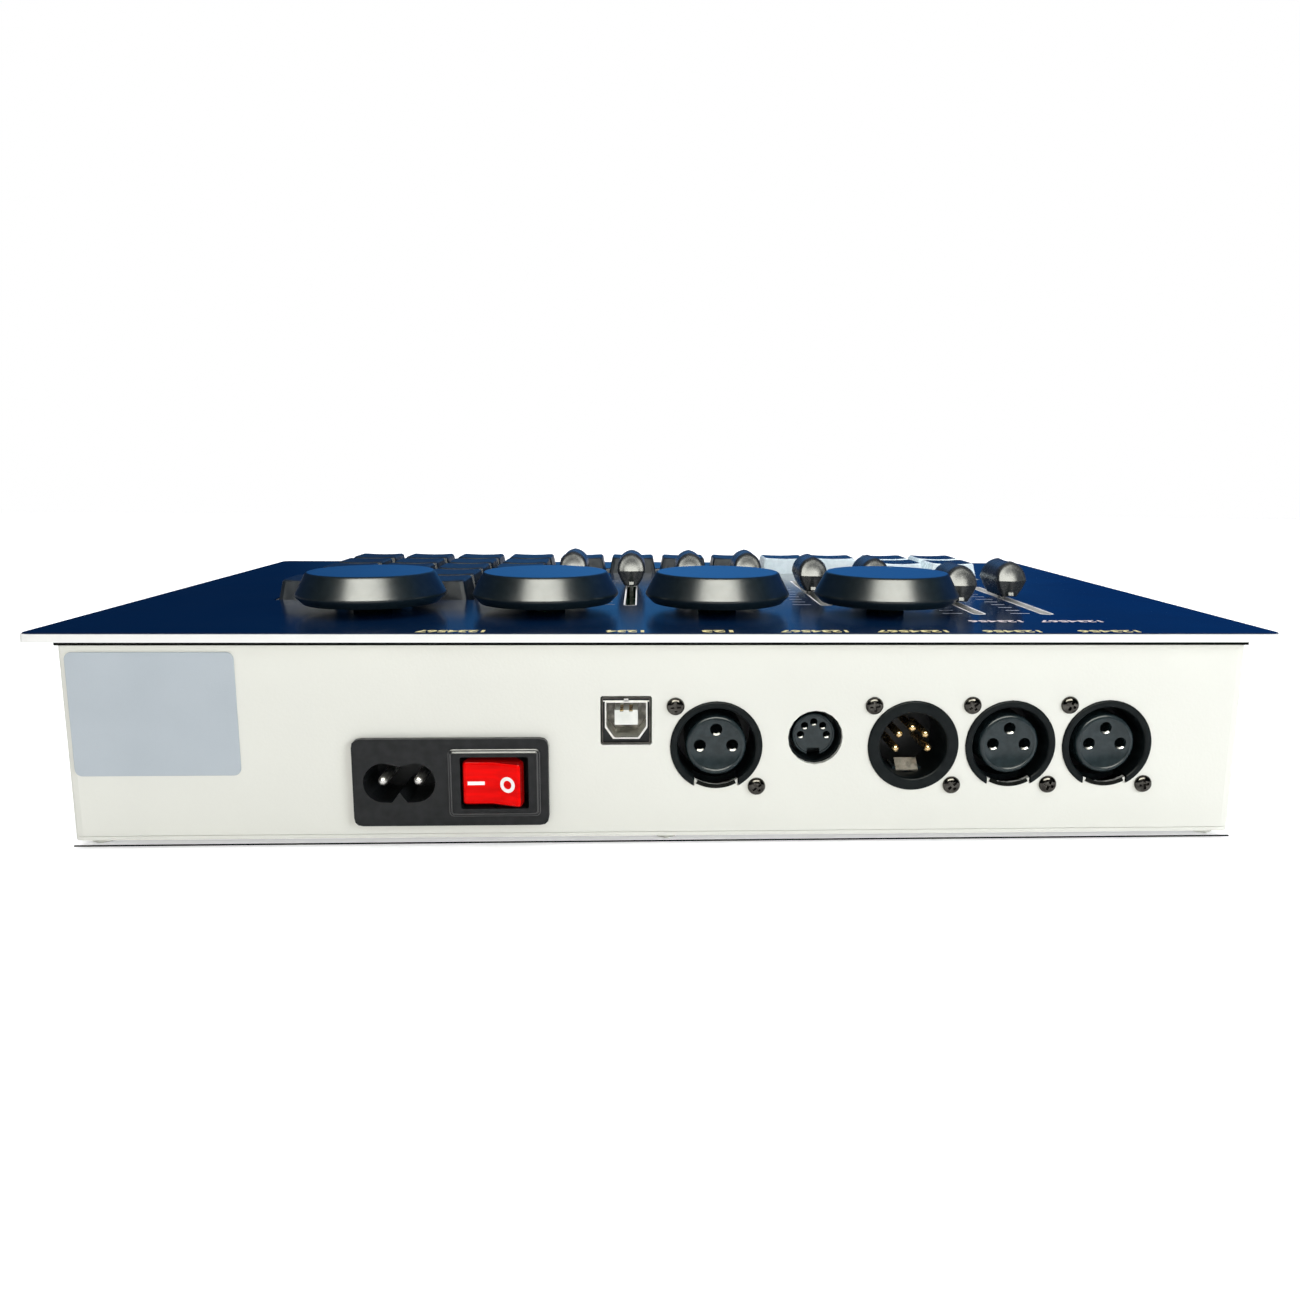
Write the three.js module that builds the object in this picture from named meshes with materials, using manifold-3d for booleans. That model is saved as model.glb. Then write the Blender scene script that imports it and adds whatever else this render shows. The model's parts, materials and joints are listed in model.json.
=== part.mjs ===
// Lighting fader wing: a flat control deck on a shallow sheet-metal case.
// Millimetres, Z up. X runs along the socket panel, Y from the socket panel to the operator's edge.
// The origin is the centre of the footprint, on the surface that the feet stand on.

import * as THREE from 'three';
import { mergeVertices } from 'three/addons/utils/BufferGeometryUtils.js';
import Module from 'manifold-3d';

const wasm = await Module();
wasm.setup();

// Clearances and cutters
const seat = 0.1; // between faces that rest on each other
const fit = 0.3; // around a piece that passes through another
const overrun = 1; // how far every cutter runs past the face it cuts

// Deck: a steel plate with a printed film on it
const sideMargin = 38.625; // deck edge to the outer columns of keys
const frontMargin = 26.5; // deck edge to the last row of keys
const deckCorner = 2.5;
const plateThickness = 1.95;
const filmThickness = 0.25;
const filmInset = 0.35;

// Case: four folded walls with flanges, closed by a base plate
const overhang = 5.5; // deck edge to wall, all round
const caseCorner = 2.5;
const wallThickness = 1.5;
const flangeWidth = 9;
const baseThickness = 1;
const footHeight = 2;
const footDiameter = 12;
const footRimRound = 0.8;
const footInset = 20;

// Machine screws for the base plate and the board
const screwDiameter = 3;
const screwHeadDiameter = 5.5;
const screwHeadHeight = 1.7;
const screwLength = 5;
const screwEdgeInset = 5; // screw line to the outer face of the wall

// Pillars pressed into the deck carry the control board
const pillarAcross = 6;
const pillarSideInset = 15; // from the inner wall face
const pillarFrontInset = 12.5;
const pillarRearInset = 29;
const boardThickness = 1.6;
const boardDrop = 14.5; // deck surface to the board's upper face
const boardMargin = 3; // past the pillar line

// Control grid
const gridPitch = 19.05;
const gridColumns = 12;
const blockColumns = 4;
const blockRows = 5;
const pairRow = 4; // the last columns have keys from this row on
const darkColumns = 8; // the keys of the columns after these are pale
const firstRowSetback = 70.2; // rear deck edge to the first row of keys

// Keycap
const keyBase = 18.2;
const keyTop = 15.4;
const keyRise = 5.7; // above the deck
const keySkirt = 2.6; // below the deck
const keyWall = 1.3;
const keyCorner = 1.4;
const keyShoulder = 0.5;
const keyDish = 0.35;
const keyTravel = 2;
const keyClearance = 0.5;
const stemWidth = 4.4;
const stemDepth = 8; // deck surface to the end of the stem
const switchWidth = 13.9;
const switchDrop = 5; // deck surface to the top of the switch

// Faders
const faderTravel = 60;
const slotWidth = 3;
const leverLength = 4;
const leverWidth = 1.2;
const leverDepth = 10.5; // deck surface to the end of the lever
const leverRise = 5.5; // into the cap
const masterCount = 2;
const masterShift = 1.2; // the last columns stand this much further out
const masterSlotSetback = 31.7; // rear deck edge to the near end of the slot
const midSlotSetback = 49; // the same, for the other faders
const potWidth = 9;
const potEndWall = 1.7;
const potHeight = 8;
const potFloor = 1.5;
// Where each cap stands along its travel, from the socket side
const faderRestShares = [0.82, 0.74, 0.74, 0.78, 0.52, 0.47, 0.39, 0.59];

// Fader cap: an arched body on a narrow foot. Its ends lean in above and below a crease
const capLength = 19;
const capWidth = 9;
const capFoot = 4.4; // width at the foot
const capTop = 11.8; // above the deck
const capGap = 1; // foot above the deck
const capCrease = 6; // height above the deck where the cap is widest and longest
const capShoulder = 10.9; // height that the arch bends towards
const capLean = 2.4; // how far each end leans in above the crease
const capUndercut = 1.3; // the same, below it
const capSaddle = 0.3; // finger dip on top

// Encoder knobs
const knobCount = 4;
const knobSpacingShare = 2.5; // of the grid pitch
const knobOffset = 0.6; // from the column that the row of knobs is centred on
const knobSetback = 40.6;
const knobRadius = 20;
const knobTopRadius = 17.3;
const knobFootRadius = 18.4;
const knobGap = 2.4;
const knobRimLow = 4.2;
const knobRimHigh = 4.9;
const knobTop = 10.8;
const knobEdge = 0.5;
const shaftDiameter = 6;
const shaftDepth = 10;
const bushDiameter = 8.6;
const bushRise = 1.9;
const encoderWidth = 12;
const encoderHeight = 6.5;

// Panel: heights are measured down from the deck surface
const connectorPitch = 25;
const firstConnectorX = 12.5;
const connectorDrop = 29.7;
const connectorDepth = 21;
const roundSocketRadius = 11.4;
const socketProud = 0.5;
const socketBodyWidth = 24.2;
const socketBodyHeight = 25.6;
const socketBodyCorner = 2;
const socketFloor = 14.5;
const femaleBore = 9.8;
const femaleCore = 7.7;
const femaleCoreSetback = 0.9;
const femaleCoreBevel = 0.8;
const femaleHoleRadius = 1.55;
const femaleHoleCircle = 4.1;
const femaleHoleDepth = 9;
const femaleHoleAngles = [0, 90, 180]; // degrees
const latchWidth = 11.5;
const latchDepth = 7;
const latchTabRadius = 10.2; // the panel's tab in the latch recess ends on this circle
const maleBore = 8.9;
const malePinRadius = 1;
const malePinCircle = 4.3;
const malePinSetback = 0.7;
const malePinStep = 52; // degrees
const latchWindowWidth = 5.6;
const latchWindowLength = 5;
const latchWindowDrop = 1; // below the bottom of the bore
const panelScrewX = 10.3;
const panelScrewZ = 10.4;
const panelScrewDiameter = 2.5;
const panelScrewHead = 4.5;
const panelScrewHeadHeight = 1.1;
const panelScrewLength = 6;

const dinDrop = 27.5;
const dinHoleRadius = 6.95;
const dinBodyWidth = 21;
const dinBodyHeight = 19;
const dinInsertRadius = 5.5;
const dinInsertSetback = 3.1;
const dinGrooveDepth = 9;
const dinPinRadius = 0.8;
const dinPinCircle = 3.3;
const dinPinDepth = 6;
const dinPinAngles = [0, 45, 90, 135, 180]; // degrees
const dinKeyWidth = 3.3;
const dinKeyDepth = 2;

const usbOffset = 22.6; // from the first round socket
const usbDrop = 22.9;
const usbShellWidth = 12.2;
const usbShellHeight = 11.9;
const usbShellCorner = 0.4;
const usbMouthWidth = 9.9;
const usbMouthHeight = 8.9;
const usbChamferWidth = 2;
const usbChamferHeight = 2.9;
const usbDepth = 9.5;
const usbTongueWidth = 5.8;
const usbTongueHeight = 3.8;
const usbTongueRise = 0.5; // above the middle of the mouth
const usbTongueSetback = 1.2;

const inletOffset = 66; // from the first round socket
const inletDrop = 38.15;
const inletRise = 13.85; // base plate to the middle of the mains module
const inletWidth = 48.2;
const inletHeight = 22.3;
const inletCorner = 2.2;
const inletFlange = 1.6;
const inletBodyWidth = 45.4;
const inletBodyHeight = 19.2;
const inletBodyDepth = 24;
const mouthWidth = 17.7;
const mouthHeight = 10.1;
const mouthOffset = 12.7; // from the middle of the module, away from the rocker
const mouthDepth = 14;
const mouthNotch = 2.6;
const mouthNotchWidth = 3.8;
const mouthDip = 0.9;
const inletPinRadius = 1.2;
const inletPinSpacing = 8.8;
const inletPinSetback = 2;
const bezelOffset = 10.8;
const bezelWidth = 22.2;
const bezelHeight = 16.8;
const bezelCorner = 1.2;
const bezelProud = 0.6;
const bezelWellWidth = 16.8;
const bezelWellHeight = 13.3;
const bezelWellDepth = 12;

// Rocker: two facets meeting at a shallow angle, on an axle behind them
const rockerWidth = 15.4;
const rockerHeight = 12.5;
const rockerTilt = 11; // degrees that each facet rises from the middle line
const rockerPivot = 2; // behind the bezel face
const rockerWaist = 3.4; // behind the middle line, where the sides start to taper
const rockerDepth = 8.6; // behind the middle line
const rockerTailShare = 0.42; // width of the inner end
const rockerAxleRadius = 0.9;
const rockerAxleReach = 1.3; // into the housing, past the well

const ioBoardMargin = 6;
const ioBoardGap = 6.5; // above the base plate

// Levels and lines worked out from the sizes above
const deckWidth = (gridColumns - 1) * gridPitch + keyBase + 2 * sideMargin;
const deckDepth = firstRowSetback + (blockRows - 1) * gridPitch + keyBase / 2 + frontMargin;
const caseWidth = deckWidth - 2 * overhang;
const caseDepth = deckDepth - 2 * overhang;
const baseTop = footHeight + baseThickness;
const inletZ = baseTop + inletRise;
const deckTop = inletZ + inletDrop;
const plateTop = deckTop - filmThickness;
const deckUnderside = plateTop - plateThickness;
const rearEdge = -deckDepth / 2;
const panelFace = -caseDepth / 2;
const panelInside = panelFace + wallThickness;
const pillarSideX = caseWidth / 2 - wallThickness - pillarSideInset;
const pillarFrontY = caseDepth / 2 - wallThickness - pillarFrontInset;
const pillarRearY = panelInside + pillarRearInset;
const boardTop = deckTop - boardDrop;
const boardUnderside = boardTop - boardThickness;
const socketFront = panelInside + seat;
const ioBoardFront = socketFront + connectorDepth;
const connectorZ = deckTop - connectorDrop;
const dinZ = deckTop - dinDrop;
const usbX = firstConnectorX - usbOffset;
const usbZ = deckTop - usbDrop;
const inletX = firstConnectorX - inletOffset;
const slotLength = faderTravel + leverLength + 2 * fit;
const potLength = slotLength + 2 * potEndWall;
const knobPitch = knobSpacingShare * gridPitch;

const fullTurn = 2 * Math.PI;
const quarterTurn = Math.PI / 2;
const rightAngle = 90; // degrees
const roundSteps = 20;
const smallSteps = 8;
const hexagonSteps = 6;
const knobSteps = 32;
const cornerSteps = 3;
const deckSteps = 4;
const plainSteps = 2;
const straightSteps = 1;
const lobeSteps = 6;
const capSteps = 5;

// Shapes and solids

function bareAndMerged(geometry) {
  geometry.deleteAttribute('normal');
  geometry.deleteAttribute('uv');
  return mergeVertices(geometry);
}

function trianglesOf(geometry) {
  const index = geometry.index.array;
  const kept = [];
  for (let i = 0; i < index.length; i += 3) {
    const [a, b, c] = [index[i], index[i + 1], index[i + 2]];
    if (a !== b && b !== c && a !== c) kept.push(a, b, c);
  }
  return kept;
}

function signedVolume(positions, triangles) {
  const [a, b, c] = [new THREE.Vector3(), new THREE.Vector3(), new THREE.Vector3()];
  let total = 0;
  for (let i = 0; i < triangles.length; i += 3) {
    a.fromArray(positions, 3 * triangles[i]);
    b.fromArray(positions, 3 * triangles[i + 1]);
    c.fromArray(positions, 3 * triangles[i + 2]);
    total += a.dot(b.cross(c));
  }
  return total;
}

function solid(geometry) {
  const merged = bareAndMerged(geometry);
  const vertProperties = Float32Array.from(merged.attributes.position.array);
  const triangles = trianglesOf(merged);
  const flipped = signedVolume(vertProperties, triangles) < 0;
  const triVerts = Uint32Array.from(flipped ? triangles.reverse() : triangles);
  return new wasm.Manifold(new wasm.Mesh({ numProp: 3, vertProperties, triVerts }));
}

function unite(solids) {
  return solids.reduce((whole, piece) => whole.add(piece));
}

function box(width, depth, height, x, y, zLow) {
  const geometry = new THREE.BoxGeometry(width, depth, height);
  return solid(geometry.translate(x, y, zLow + height / 2));
}

function addCorners(path, corners, radius) {
  const count = corners.length;
  for (let i = 0; i < count; i += 1) {
    const corner = corners[i];
    const before = corners[(i + count - 1) % count].clone().sub(corner).setLength(radius).add(corner);
    const after = corners[(i + 1) % count].clone().sub(corner).setLength(radius).add(corner);
    if (i === 0) path.moveTo(before.x, before.y);
    else path.lineTo(before.x, before.y);
    path.quadraticCurveTo(corner.x, corner.y, after.x, after.y);
  }
  path.closePath();
  return path;
}

function rectangleCorners(width, height, x, y) {
  return [
    new THREE.Vector2(x - width / 2, y - height / 2),
    new THREE.Vector2(x + width / 2, y - height / 2),
    new THREE.Vector2(x + width / 2, y + height / 2),
    new THREE.Vector2(x - width / 2, y + height / 2),
  ];
}

function roundedRectangle(width, height, radius, x, y) {
  return addCorners(new THREE.Shape(), rectangleCorners(width, height, x, y), radius);
}

function circle(radius, x, y) {
  return new THREE.Shape().absarc(x, y, radius, 0, fullTurn, false);
}

function stadium(width, length, x, y) {
  const reach = length / 2 - width / 2;
  const path = new THREE.Shape();
  path.absarc(x, y + reach, width / 2, 0, Math.PI, false);
  path.absarc(x, y - reach, width / 2, Math.PI, fullTurn, false);
  return path.closePath();
}

// A shape drawn in X and Y, standing from one height to another
function slab(shape, zLow, zHigh, steps = cornerSteps) {
  const settings = { depth: zHigh - zLow, bevelEnabled: false, curveSegments: steps };
  return solid(new THREE.ExtrudeGeometry(shape, settings).translate(0, 0, zLow));
}

// A shape drawn in X and Z, running from one Y to another
function panelPrism(shape, yFront, yBack, steps = cornerSteps) {
  const settings = { depth: yBack - yFront, bevelEnabled: false, curveSegments: steps };
  const geometry = new THREE.ExtrudeGeometry(shape, settings);
  return solid(geometry.rotateX(quarterTurn).translate(0, yBack, 0));
}

// A profile of [radius, height] pairs turned about the Z axis
function turned(profile, x, y, z, steps) {
  const points = profile.map(([radius, height]) => new THREE.Vector2(radius, height));
  const geometry = new THREE.LatheGeometry(points, steps);
  return solid(geometry.rotateX(quarterTurn).translate(x, y, z));
}

// The same about an axis that runs into the panel
function turnedInward(profile, x, y, z, steps) {
  const points = profile.map(([radius, depth]) => new THREE.Vector2(radius, depth));
  return solid(new THREE.LatheGeometry(points, steps).translate(x, y, z));
}

function drum(radius, yFront, yBack, x, z, steps = roundSteps) {
  const profile = [[0, yFront], [radius, yFront], [radius, yBack], [0, yBack]];
  return turnedInward(profile, x, 0, z, steps);
}

// A body through rings of points that all have the same count
function loft(rings) {
  const count = rings[0].length;
  const positions = rings.flat().flatMap((point) => point.toArray());
  const index = [];
  for (let r = 0; r + 1 < rings.length; r += 1) {
    for (let i = 0; i < count; i += 1) {
      const next = (i + 1) % count;
      const [a, b] = [r * count + i, r * count + next];
      index.push(a, b, b + count, a, b + count, a + count);
    }
  }
  const last = (rings.length - 1) * count;
  for (let i = 1; i + 1 < count; i += 1) {
    index.push(0, i + 1, i);
    index.push(last, last + i, last + i + 1);
  }
  const geometry = new THREE.BufferGeometry();
  geometry.setAttribute('position', new THREE.Float32BufferAttribute(positions, 3));
  geometry.setIndex(index);
  return solid(geometry);
}

function roundedRing(width, corner, x, y, z) {
  const outline = roundedRectangle(width, width, corner, x, y).getPoints(plainSteps);
  const open = outline[0].equals(outline.at(-1)) ? outline.slice(0, -1) : outline;
  return open.map((point) => new THREE.Vector3(point.x, point.y, z));
}

function squareRing(width, x, y, z) {
  return rectangleCorners(width, width, x, y).map((point) => new THREE.Vector3(point.x, point.y, z));
}

const group = new THREE.Group();
group.name = 'fader_wing';

function publish(name, body, material) {
  const { vertProperties, triVerts } = body.getMesh();
  const geometry = new THREE.BufferGeometry();
  geometry.setAttribute('position', new THREE.BufferAttribute(vertProperties, 3));
  geometry.setIndex(new THREE.BufferAttribute(triVerts, 1));
  geometry.computeVertexNormals();
  const mesh = new THREE.Mesh(geometry, material);
  mesh.name = name;
  group.add(mesh);
}

function finish(color, roughness, metalness) {
  return new THREE.MeshStandardMaterial({ color, roughness, metalness });
}

// Materials

const whitePaint = () => finish(0xeeede6, 0.5, 0);
const navyFilm = () => finish(0x14264f, 0.22, 0);
const blackPlastic = () => finish(0x1c1d1e, 0.5, 0);
const satinGrey = () => finish(0x34383b, 0.38, 0);
const glossyBlack = () => finish(0x101214, 0.15, 0);
const darkKey = () => finish(0x17202e, 0.3, 0);
const paleKey = () => finish(0xcfd8de, 0.25, 0);
const redRocker = () => finish(0xcc0605, 0.2, 0);
const brightMetal = () => finish(0xc9ccd0, 0.25, 1);
const greenBoard = () => finish(0x1f5a36, 0.45, 0);
const rubber = () => finish(0x161616, 0.85, 0);

// Places

const isMasterColumn = (column) => column > gridColumns - masterCount;
const columnShift = (column) => (isMasterColumn(column) ? masterShift : 0);
const gridX = (column) => (column - (gridColumns + 1) / 2) * gridPitch + columnShift(column);
const rowY = (row) => rearEdge + firstRowSetback + (row - 1) * gridPitch;
const knobX = (number) => gridX(blockColumns + 2) + knobOffset + (number - (knobCount + 1) / 2) * knobPitch;
const knobY = rearEdge + knobSetback;
const connectorX = (place) => firstConnectorX + (place - 1) * connectorPitch;

function keyPlaces() {
  const places = [];
  for (let column = 1; column <= gridColumns; column += 1) {
    const besideBlock = isMasterColumn(column) ? pairRow : blockRows;
    const firstRow = column <= blockColumns ? 1 : besideBlock;
    for (let row = firstRow; row <= blockRows; row += 1) {
      places.push({ row, column, x: gridX(column), y: rowY(row) });
    }
  }
  return places;
}

function faderPlaces() {
  return faderRestShares.map((share, i) => {
    const column = blockColumns + 1 + i;
    const slotStart = rearEdge + (isMasterColumn(column) ? masterSlotSetback : midSlotSetback);
    const capY = slotStart + fit + leverLength / 2 + share * faderTravel;
    return { number: i + 1, x: gridX(column), slotY: slotStart + slotLength / 2, capY };
  });
}

function pillarPlaces() {
  const places = [];
  for (const x of [-pillarSideX, 0, pillarSideX]) {
    for (const y of [pillarRearY, 0, pillarFrontY]) {
      if (x !== 0 || y !== 0) places.push({ x, y });
    }
  }
  return places;
}

function baseScrewPlaces() {
  const sideX = caseWidth / 2 - screwEdgeInset;
  const endY = caseDepth / 2 - screwEdgeInset;
  return [-sideX, 0, sideX].flatMap((x) => [-endY, endY].map((y) => ({ x, y })));
}

const xlrFemalePlaces = [1, 4, 5];
const xlrMalePlace = 3;
const dinPlace = 2;

// Deck

// One opening serves the block of keys, the row under the faders and the pair of rows beside it
function keyOpening() {
  const half = keyBase / 2 + keyClearance;
  const left = gridX(1) - half;
  const blockRight = gridX(blockColumns) + half;
  const pairLeft = gridX(gridColumns - masterCount + 1) - half;
  const right = gridX(gridColumns) + half;
  const near = rowY(1) - half;
  const pairNear = rowY(pairRow) - half;
  const lastNear = rowY(blockRows) - half;
  const far = rowY(blockRows) + half;
  const corners = [
    [left, near], [blockRight, near], [blockRight, lastNear], [pairLeft, lastNear],
    [pairLeft, pairNear], [right, pairNear], [right, far], [left, far],
  ];
  const points = corners.map(([x, y]) => new THREE.Vector2(x, y));
  return addCorners(new THREE.Shape(), points, keyClearance);
}

function deckOutline(inset, knobHoleRadius) {
  const outline = roundedRectangle(deckWidth - 2 * inset, deckDepth - 2 * inset, deckCorner, 0, 0);
  outline.holes.push(keyOpening());
  for (const fader of faderPlaces()) {
    outline.holes.push(stadium(slotWidth, slotLength, fader.x, fader.slotY));
  }
  for (let number = 1; number <= knobCount; number += 1) {
    outline.holes.push(circle(knobHoleRadius, knobX(number), knobY));
  }
  return outline;
}

function pillar(x, y) {
  const radius = pillarAcross / Math.sqrt(3);
  const low = boardTop + seat;
  const post = [[0, low], [radius, low], [radius, deckUnderside + seat], [0, deckUnderside + seat]];
  const bore = screwDiameter / 2 + fit;
  const boreTop = boardUnderside + screwLength + overrun;
  const cutter = [[0, low - overrun], [bore, low - overrun], [bore, boreTop], [0, boreTop]];
  return turned(post, x, y, 0, hexagonSteps).subtract(turned(cutter, x, y, 0, smallSteps));
}

function deckPlate() {
  const outline = deckOutline(0, bushDiameter / 2 + fit);
  const plate = slab(outline, deckUnderside, plateTop, deckSteps);
  return unite([plate, ...pillarPlaces().map(({ x, y }) => pillar(x, y))]);
}

function deckFilm() {
  return slab(deckOutline(filmInset, bushDiameter / 2 + fit), plateTop, deckTop, deckSteps);
}

// Case

function flangeRing(zLow, zHigh) {
  const ring = roundedRectangle(caseWidth - wallThickness, caseDepth - wallThickness, caseCorner, 0, 0);
  const window = 2 * (wallThickness + flangeWidth);
  ring.holes.push(roundedRectangle(caseWidth - window, caseDepth - window, caseCorner, 0, 0));
  return slab(ring, zLow, zHigh);
}

// The cut-out of a socket with a latch leaves a tab of the panel standing in the latch recess
function latchedCutout(x, front, back) {
  const radius = roundSocketRadius + fit;
  const round = drum(radius, front, back, x, connectorZ);
  const tab = box(latchWidth - 2 * fit, back - front, radius, x, (front + back) / 2, connectorZ - radius);
  return round.subtract(tab).add(drum(latchTabRadius, front, back, x, connectorZ));
}

function panelCutouts() {
  const front = panelFace - overrun;
  const back = panelInside + overrun;
  const cutters = xlrFemalePlaces.map((place) => latchedCutout(connectorX(place), front, back));
  cutters.push(drum(roundSocketRadius + fit, front, back, connectorX(xlrMalePlace), connectorZ));
  const bore = panelScrewDiameter / 2 + fit;
  for (const place of [...xlrFemalePlaces, xlrMalePlace]) {
    for (const side of [-1, 1]) {
      const x = connectorX(place) + side * panelScrewX;
      cutters.push(drum(bore, front, back, x, connectorZ - side * panelScrewZ, smallSteps));
    }
  }
  cutters.push(drum(dinHoleRadius, front, back, connectorX(dinPlace), dinZ));
  const usb = roundedRectangle(usbShellWidth + 2 * fit, usbShellHeight + 2 * fit, usbShellCorner, usbX, usbZ);
  cutters.push(panelPrism(usb, front, back, straightSteps));
  const width = inletBodyWidth + 2 * fit;
  const height = inletBodyHeight + 2 * fit;
  cutters.push(panelPrism(roundedRectangle(width, height, inletCorner, inletX, inletZ), front, back));
  return unite(cutters);
}

function wallFrame() {
  const zLow = baseTop + seat;
  const zHigh = deckUnderside - seat;
  const walls = roundedRectangle(caseWidth, caseDepth, caseCorner, 0, 0);
  const inside = caseCorner - wallThickness / 2;
  const innerWidth = caseWidth - 2 * wallThickness;
  const innerDepth = caseDepth - 2 * wallThickness;
  walls.holes.push(roundedRectangle(innerWidth, innerDepth, inside, 0, 0));
  const frame = unite([
    slab(walls, zLow, zHigh),
    flangeRing(zLow, zLow + wallThickness),
    flangeRing(zHigh - wallThickness, zHigh),
  ]);
  const bores = baseScrewPlaces().map(({ x, y }) => {
    const radius = screwDiameter / 2 + fit;
    return slab(circle(radius, x, y), zLow - overrun, zLow + wallThickness + overrun, deckSteps);
  });
  return frame.subtract(unite([panelCutouts(), ...bores]));
}

function basePlate() {
  const outline = roundedRectangle(caseWidth, caseDepth, caseCorner, 0, 0);
  for (const { x, y } of baseScrewPlaces()) {
    outline.holes.push(circle(screwDiameter / 2 + fit, x, y));
  }
  const screws = baseScrewPlaces().map(({ x, y }) => screw(x, y, footHeight + seat));
  return unite([slab(outline, footHeight, baseTop), ...screws]);
}

function rubberFoot(sideX, sideY) {
  const x = sideX * (caseWidth / 2 - footInset);
  const y = sideY * (caseDepth / 2 - footInset);
  const radius = footDiameter / 2;
  const top = footHeight - seat;
  const profile = [[0, 0], [radius - footRimRound, 0], [radius, footRimRound], [radius, top], [0, top]];
  return turned(profile, x, y, 0, roundSteps);
}

// Pan-head screw pointing up, with its head's seat at the given height
function screw(x, y, z) {
  const [head, shank] = [screwHeadDiameter / 2, screwDiameter / 2];
  const profile = [
    [0, -screwHeadHeight], [head, -screwHeadHeight], [head, 0],
    [shank, 0], [shank, screwLength], [0, screwLength],
  ];
  return turned(profile, x, y, z, hexagonSteps);
}

// Control board and what stands on it

function bareBoard() {
  const edge = pillarAcross / 2 + boardMargin;
  const width = 2 * (pillarSideX + edge);
  const depth = pillarFrontY - pillarRearY + 2 * edge;
  const outline = roundedRectangle(width, depth, boardMargin, 0, (pillarFrontY + pillarRearY) / 2);
  for (const { x, y } of pillarPlaces()) {
    outline.holes.push(circle(screwDiameter / 2 + fit, x, y));
  }
  return slab(outline, boardUnderside, boardTop);
}

function keySwitch(x, y) {
  const low = boardTop - seat;
  const high = deckTop - switchDrop;
  const body = box(switchWidth, switchWidth, high - low, x, y, low);
  const bore = stemWidth + 2 * fit;
  const floor = deckTop - stemDepth - keyTravel - fit;
  return body.subtract(box(bore, bore, high + overrun - floor, x, y, floor));
}

function keyCap(x, y) {
  const low = deckTop - keySkirt;
  const high = deckTop + keyRise;
  const outside = loft([
    roundedRing(keyBase, keyCorner, x, y, low),
    roundedRing(keyTop, keyCorner, x, y, high - keyShoulder),
    roundedRing(keyTop - 2 * keyShoulder, keyCorner, x, y, high),
  ]);
  const cavity = loft([
    squareRing(keyBase - 2 * keyWall, x, y, low - overrun),
    squareRing(keyBase - 2 * keyWall, x, y, low),
    squareRing(keyTop - 2 * keyWall, x, y, high - keyDish - keyWall),
  ]);
  const stem = box(stemWidth, stemWidth, stemDepth + keyRise - keyWall, x, y, deckTop - stemDepth);
  // A wide shallow trough that cuts the dish at its middle and runs out at its edges
  const half = keyTop / 2 - keyShoulder;
  const dishRadius = (half * half + keyDish * keyDish) / (2 * keyDish);
  const trough = new THREE.Shape();
  const reach = Math.asin(half / dishRadius);
  const dishCentre = high - keyDish + dishRadius;
  trough.absarc(x, dishCentre, dishRadius, -quarterTurn - reach, -quarterTurn + reach, false);
  trough.lineTo(x + half, high + overrun);
  trough.lineTo(x - half, high + overrun);
  trough.closePath();
  const dish = panelPrism(trough, y - keyBase / 2, y + keyBase / 2, plainSteps);
  return outside.subtract(cavity).add(stem).subtract(dish);
}

function faderPot(x, y) {
  const low = boardTop - seat;
  const body = box(potWidth, potLength, potHeight, x, y, low);
  const slot = stadium(slotWidth, slotLength, x, y);
  return body.subtract(slab(slot, low + potFloor, low + potHeight + overrun, plainSteps));
}

// The cap from the front, drawn in X and Z
function capFront(x) {
  const [foot, waist, half] = [deckTop + capGap, deckTop + capCrease, capWidth / 2];
  const outline = new THREE.Shape();
  outline.moveTo(x - capFoot / 2, foot);
  outline.lineTo(x + capFoot / 2, foot);
  outline.lineTo(x + half, waist);
  outline.quadraticCurveTo(x + half, deckTop + capShoulder, x, deckTop + capTop);
  outline.quadraticCurveTo(x - half, deckTop + capShoulder, x - half, waist);
  return outline.closePath();
}

// The cap from the side, drawn along its length and in Z
function capSide(y) {
  const [foot, waist, top, half] = [deckTop + capGap, deckTop + capCrease, deckTop + capTop, capLength / 2];
  const outline = new THREE.Shape();
  outline.moveTo(y - half + capUndercut, foot);
  outline.lineTo(y + half - capUndercut, foot);
  outline.lineTo(y + half, waist);
  outline.lineTo(y + half - capLean, top);
  outline.quadraticCurveTo(y, top - 2 * capSaddle, y - half + capLean, top);
  outline.lineTo(y - half, waist);
  return outline.closePath();
}

function faderCap(x, y) {
  const across = panelPrism(capFront(x), y - capLength, y + capLength, capSteps);
  const along = panelPrism(capSide(y), -x - capWidth, -x + capWidth, capSteps).rotate(0, 0, rightAngle);
  const lever = box(leverWidth, leverLength, leverDepth + leverRise, x, y, deckTop - leverDepth);
  return across.intersect(along).add(lever);
}

function encoder(x, y) {
  const low = boardTop - seat;
  const body = box(encoderWidth, encoderWidth, encoderHeight, x, y, low);
  const radius = bushDiameter / 2;
  const bush = slab(circle(radius, x, y), low + encoderHeight / 2, deckTop + bushRise, deckSteps);
  const bore = shaftDiameter / 2 + fit;
  const floor = deckTop - shaftDepth - fit;
  return body.add(bush).subtract(slab(circle(bore, x, y), floor, deckTop + bushRise + overrun, deckSteps));
}

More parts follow.
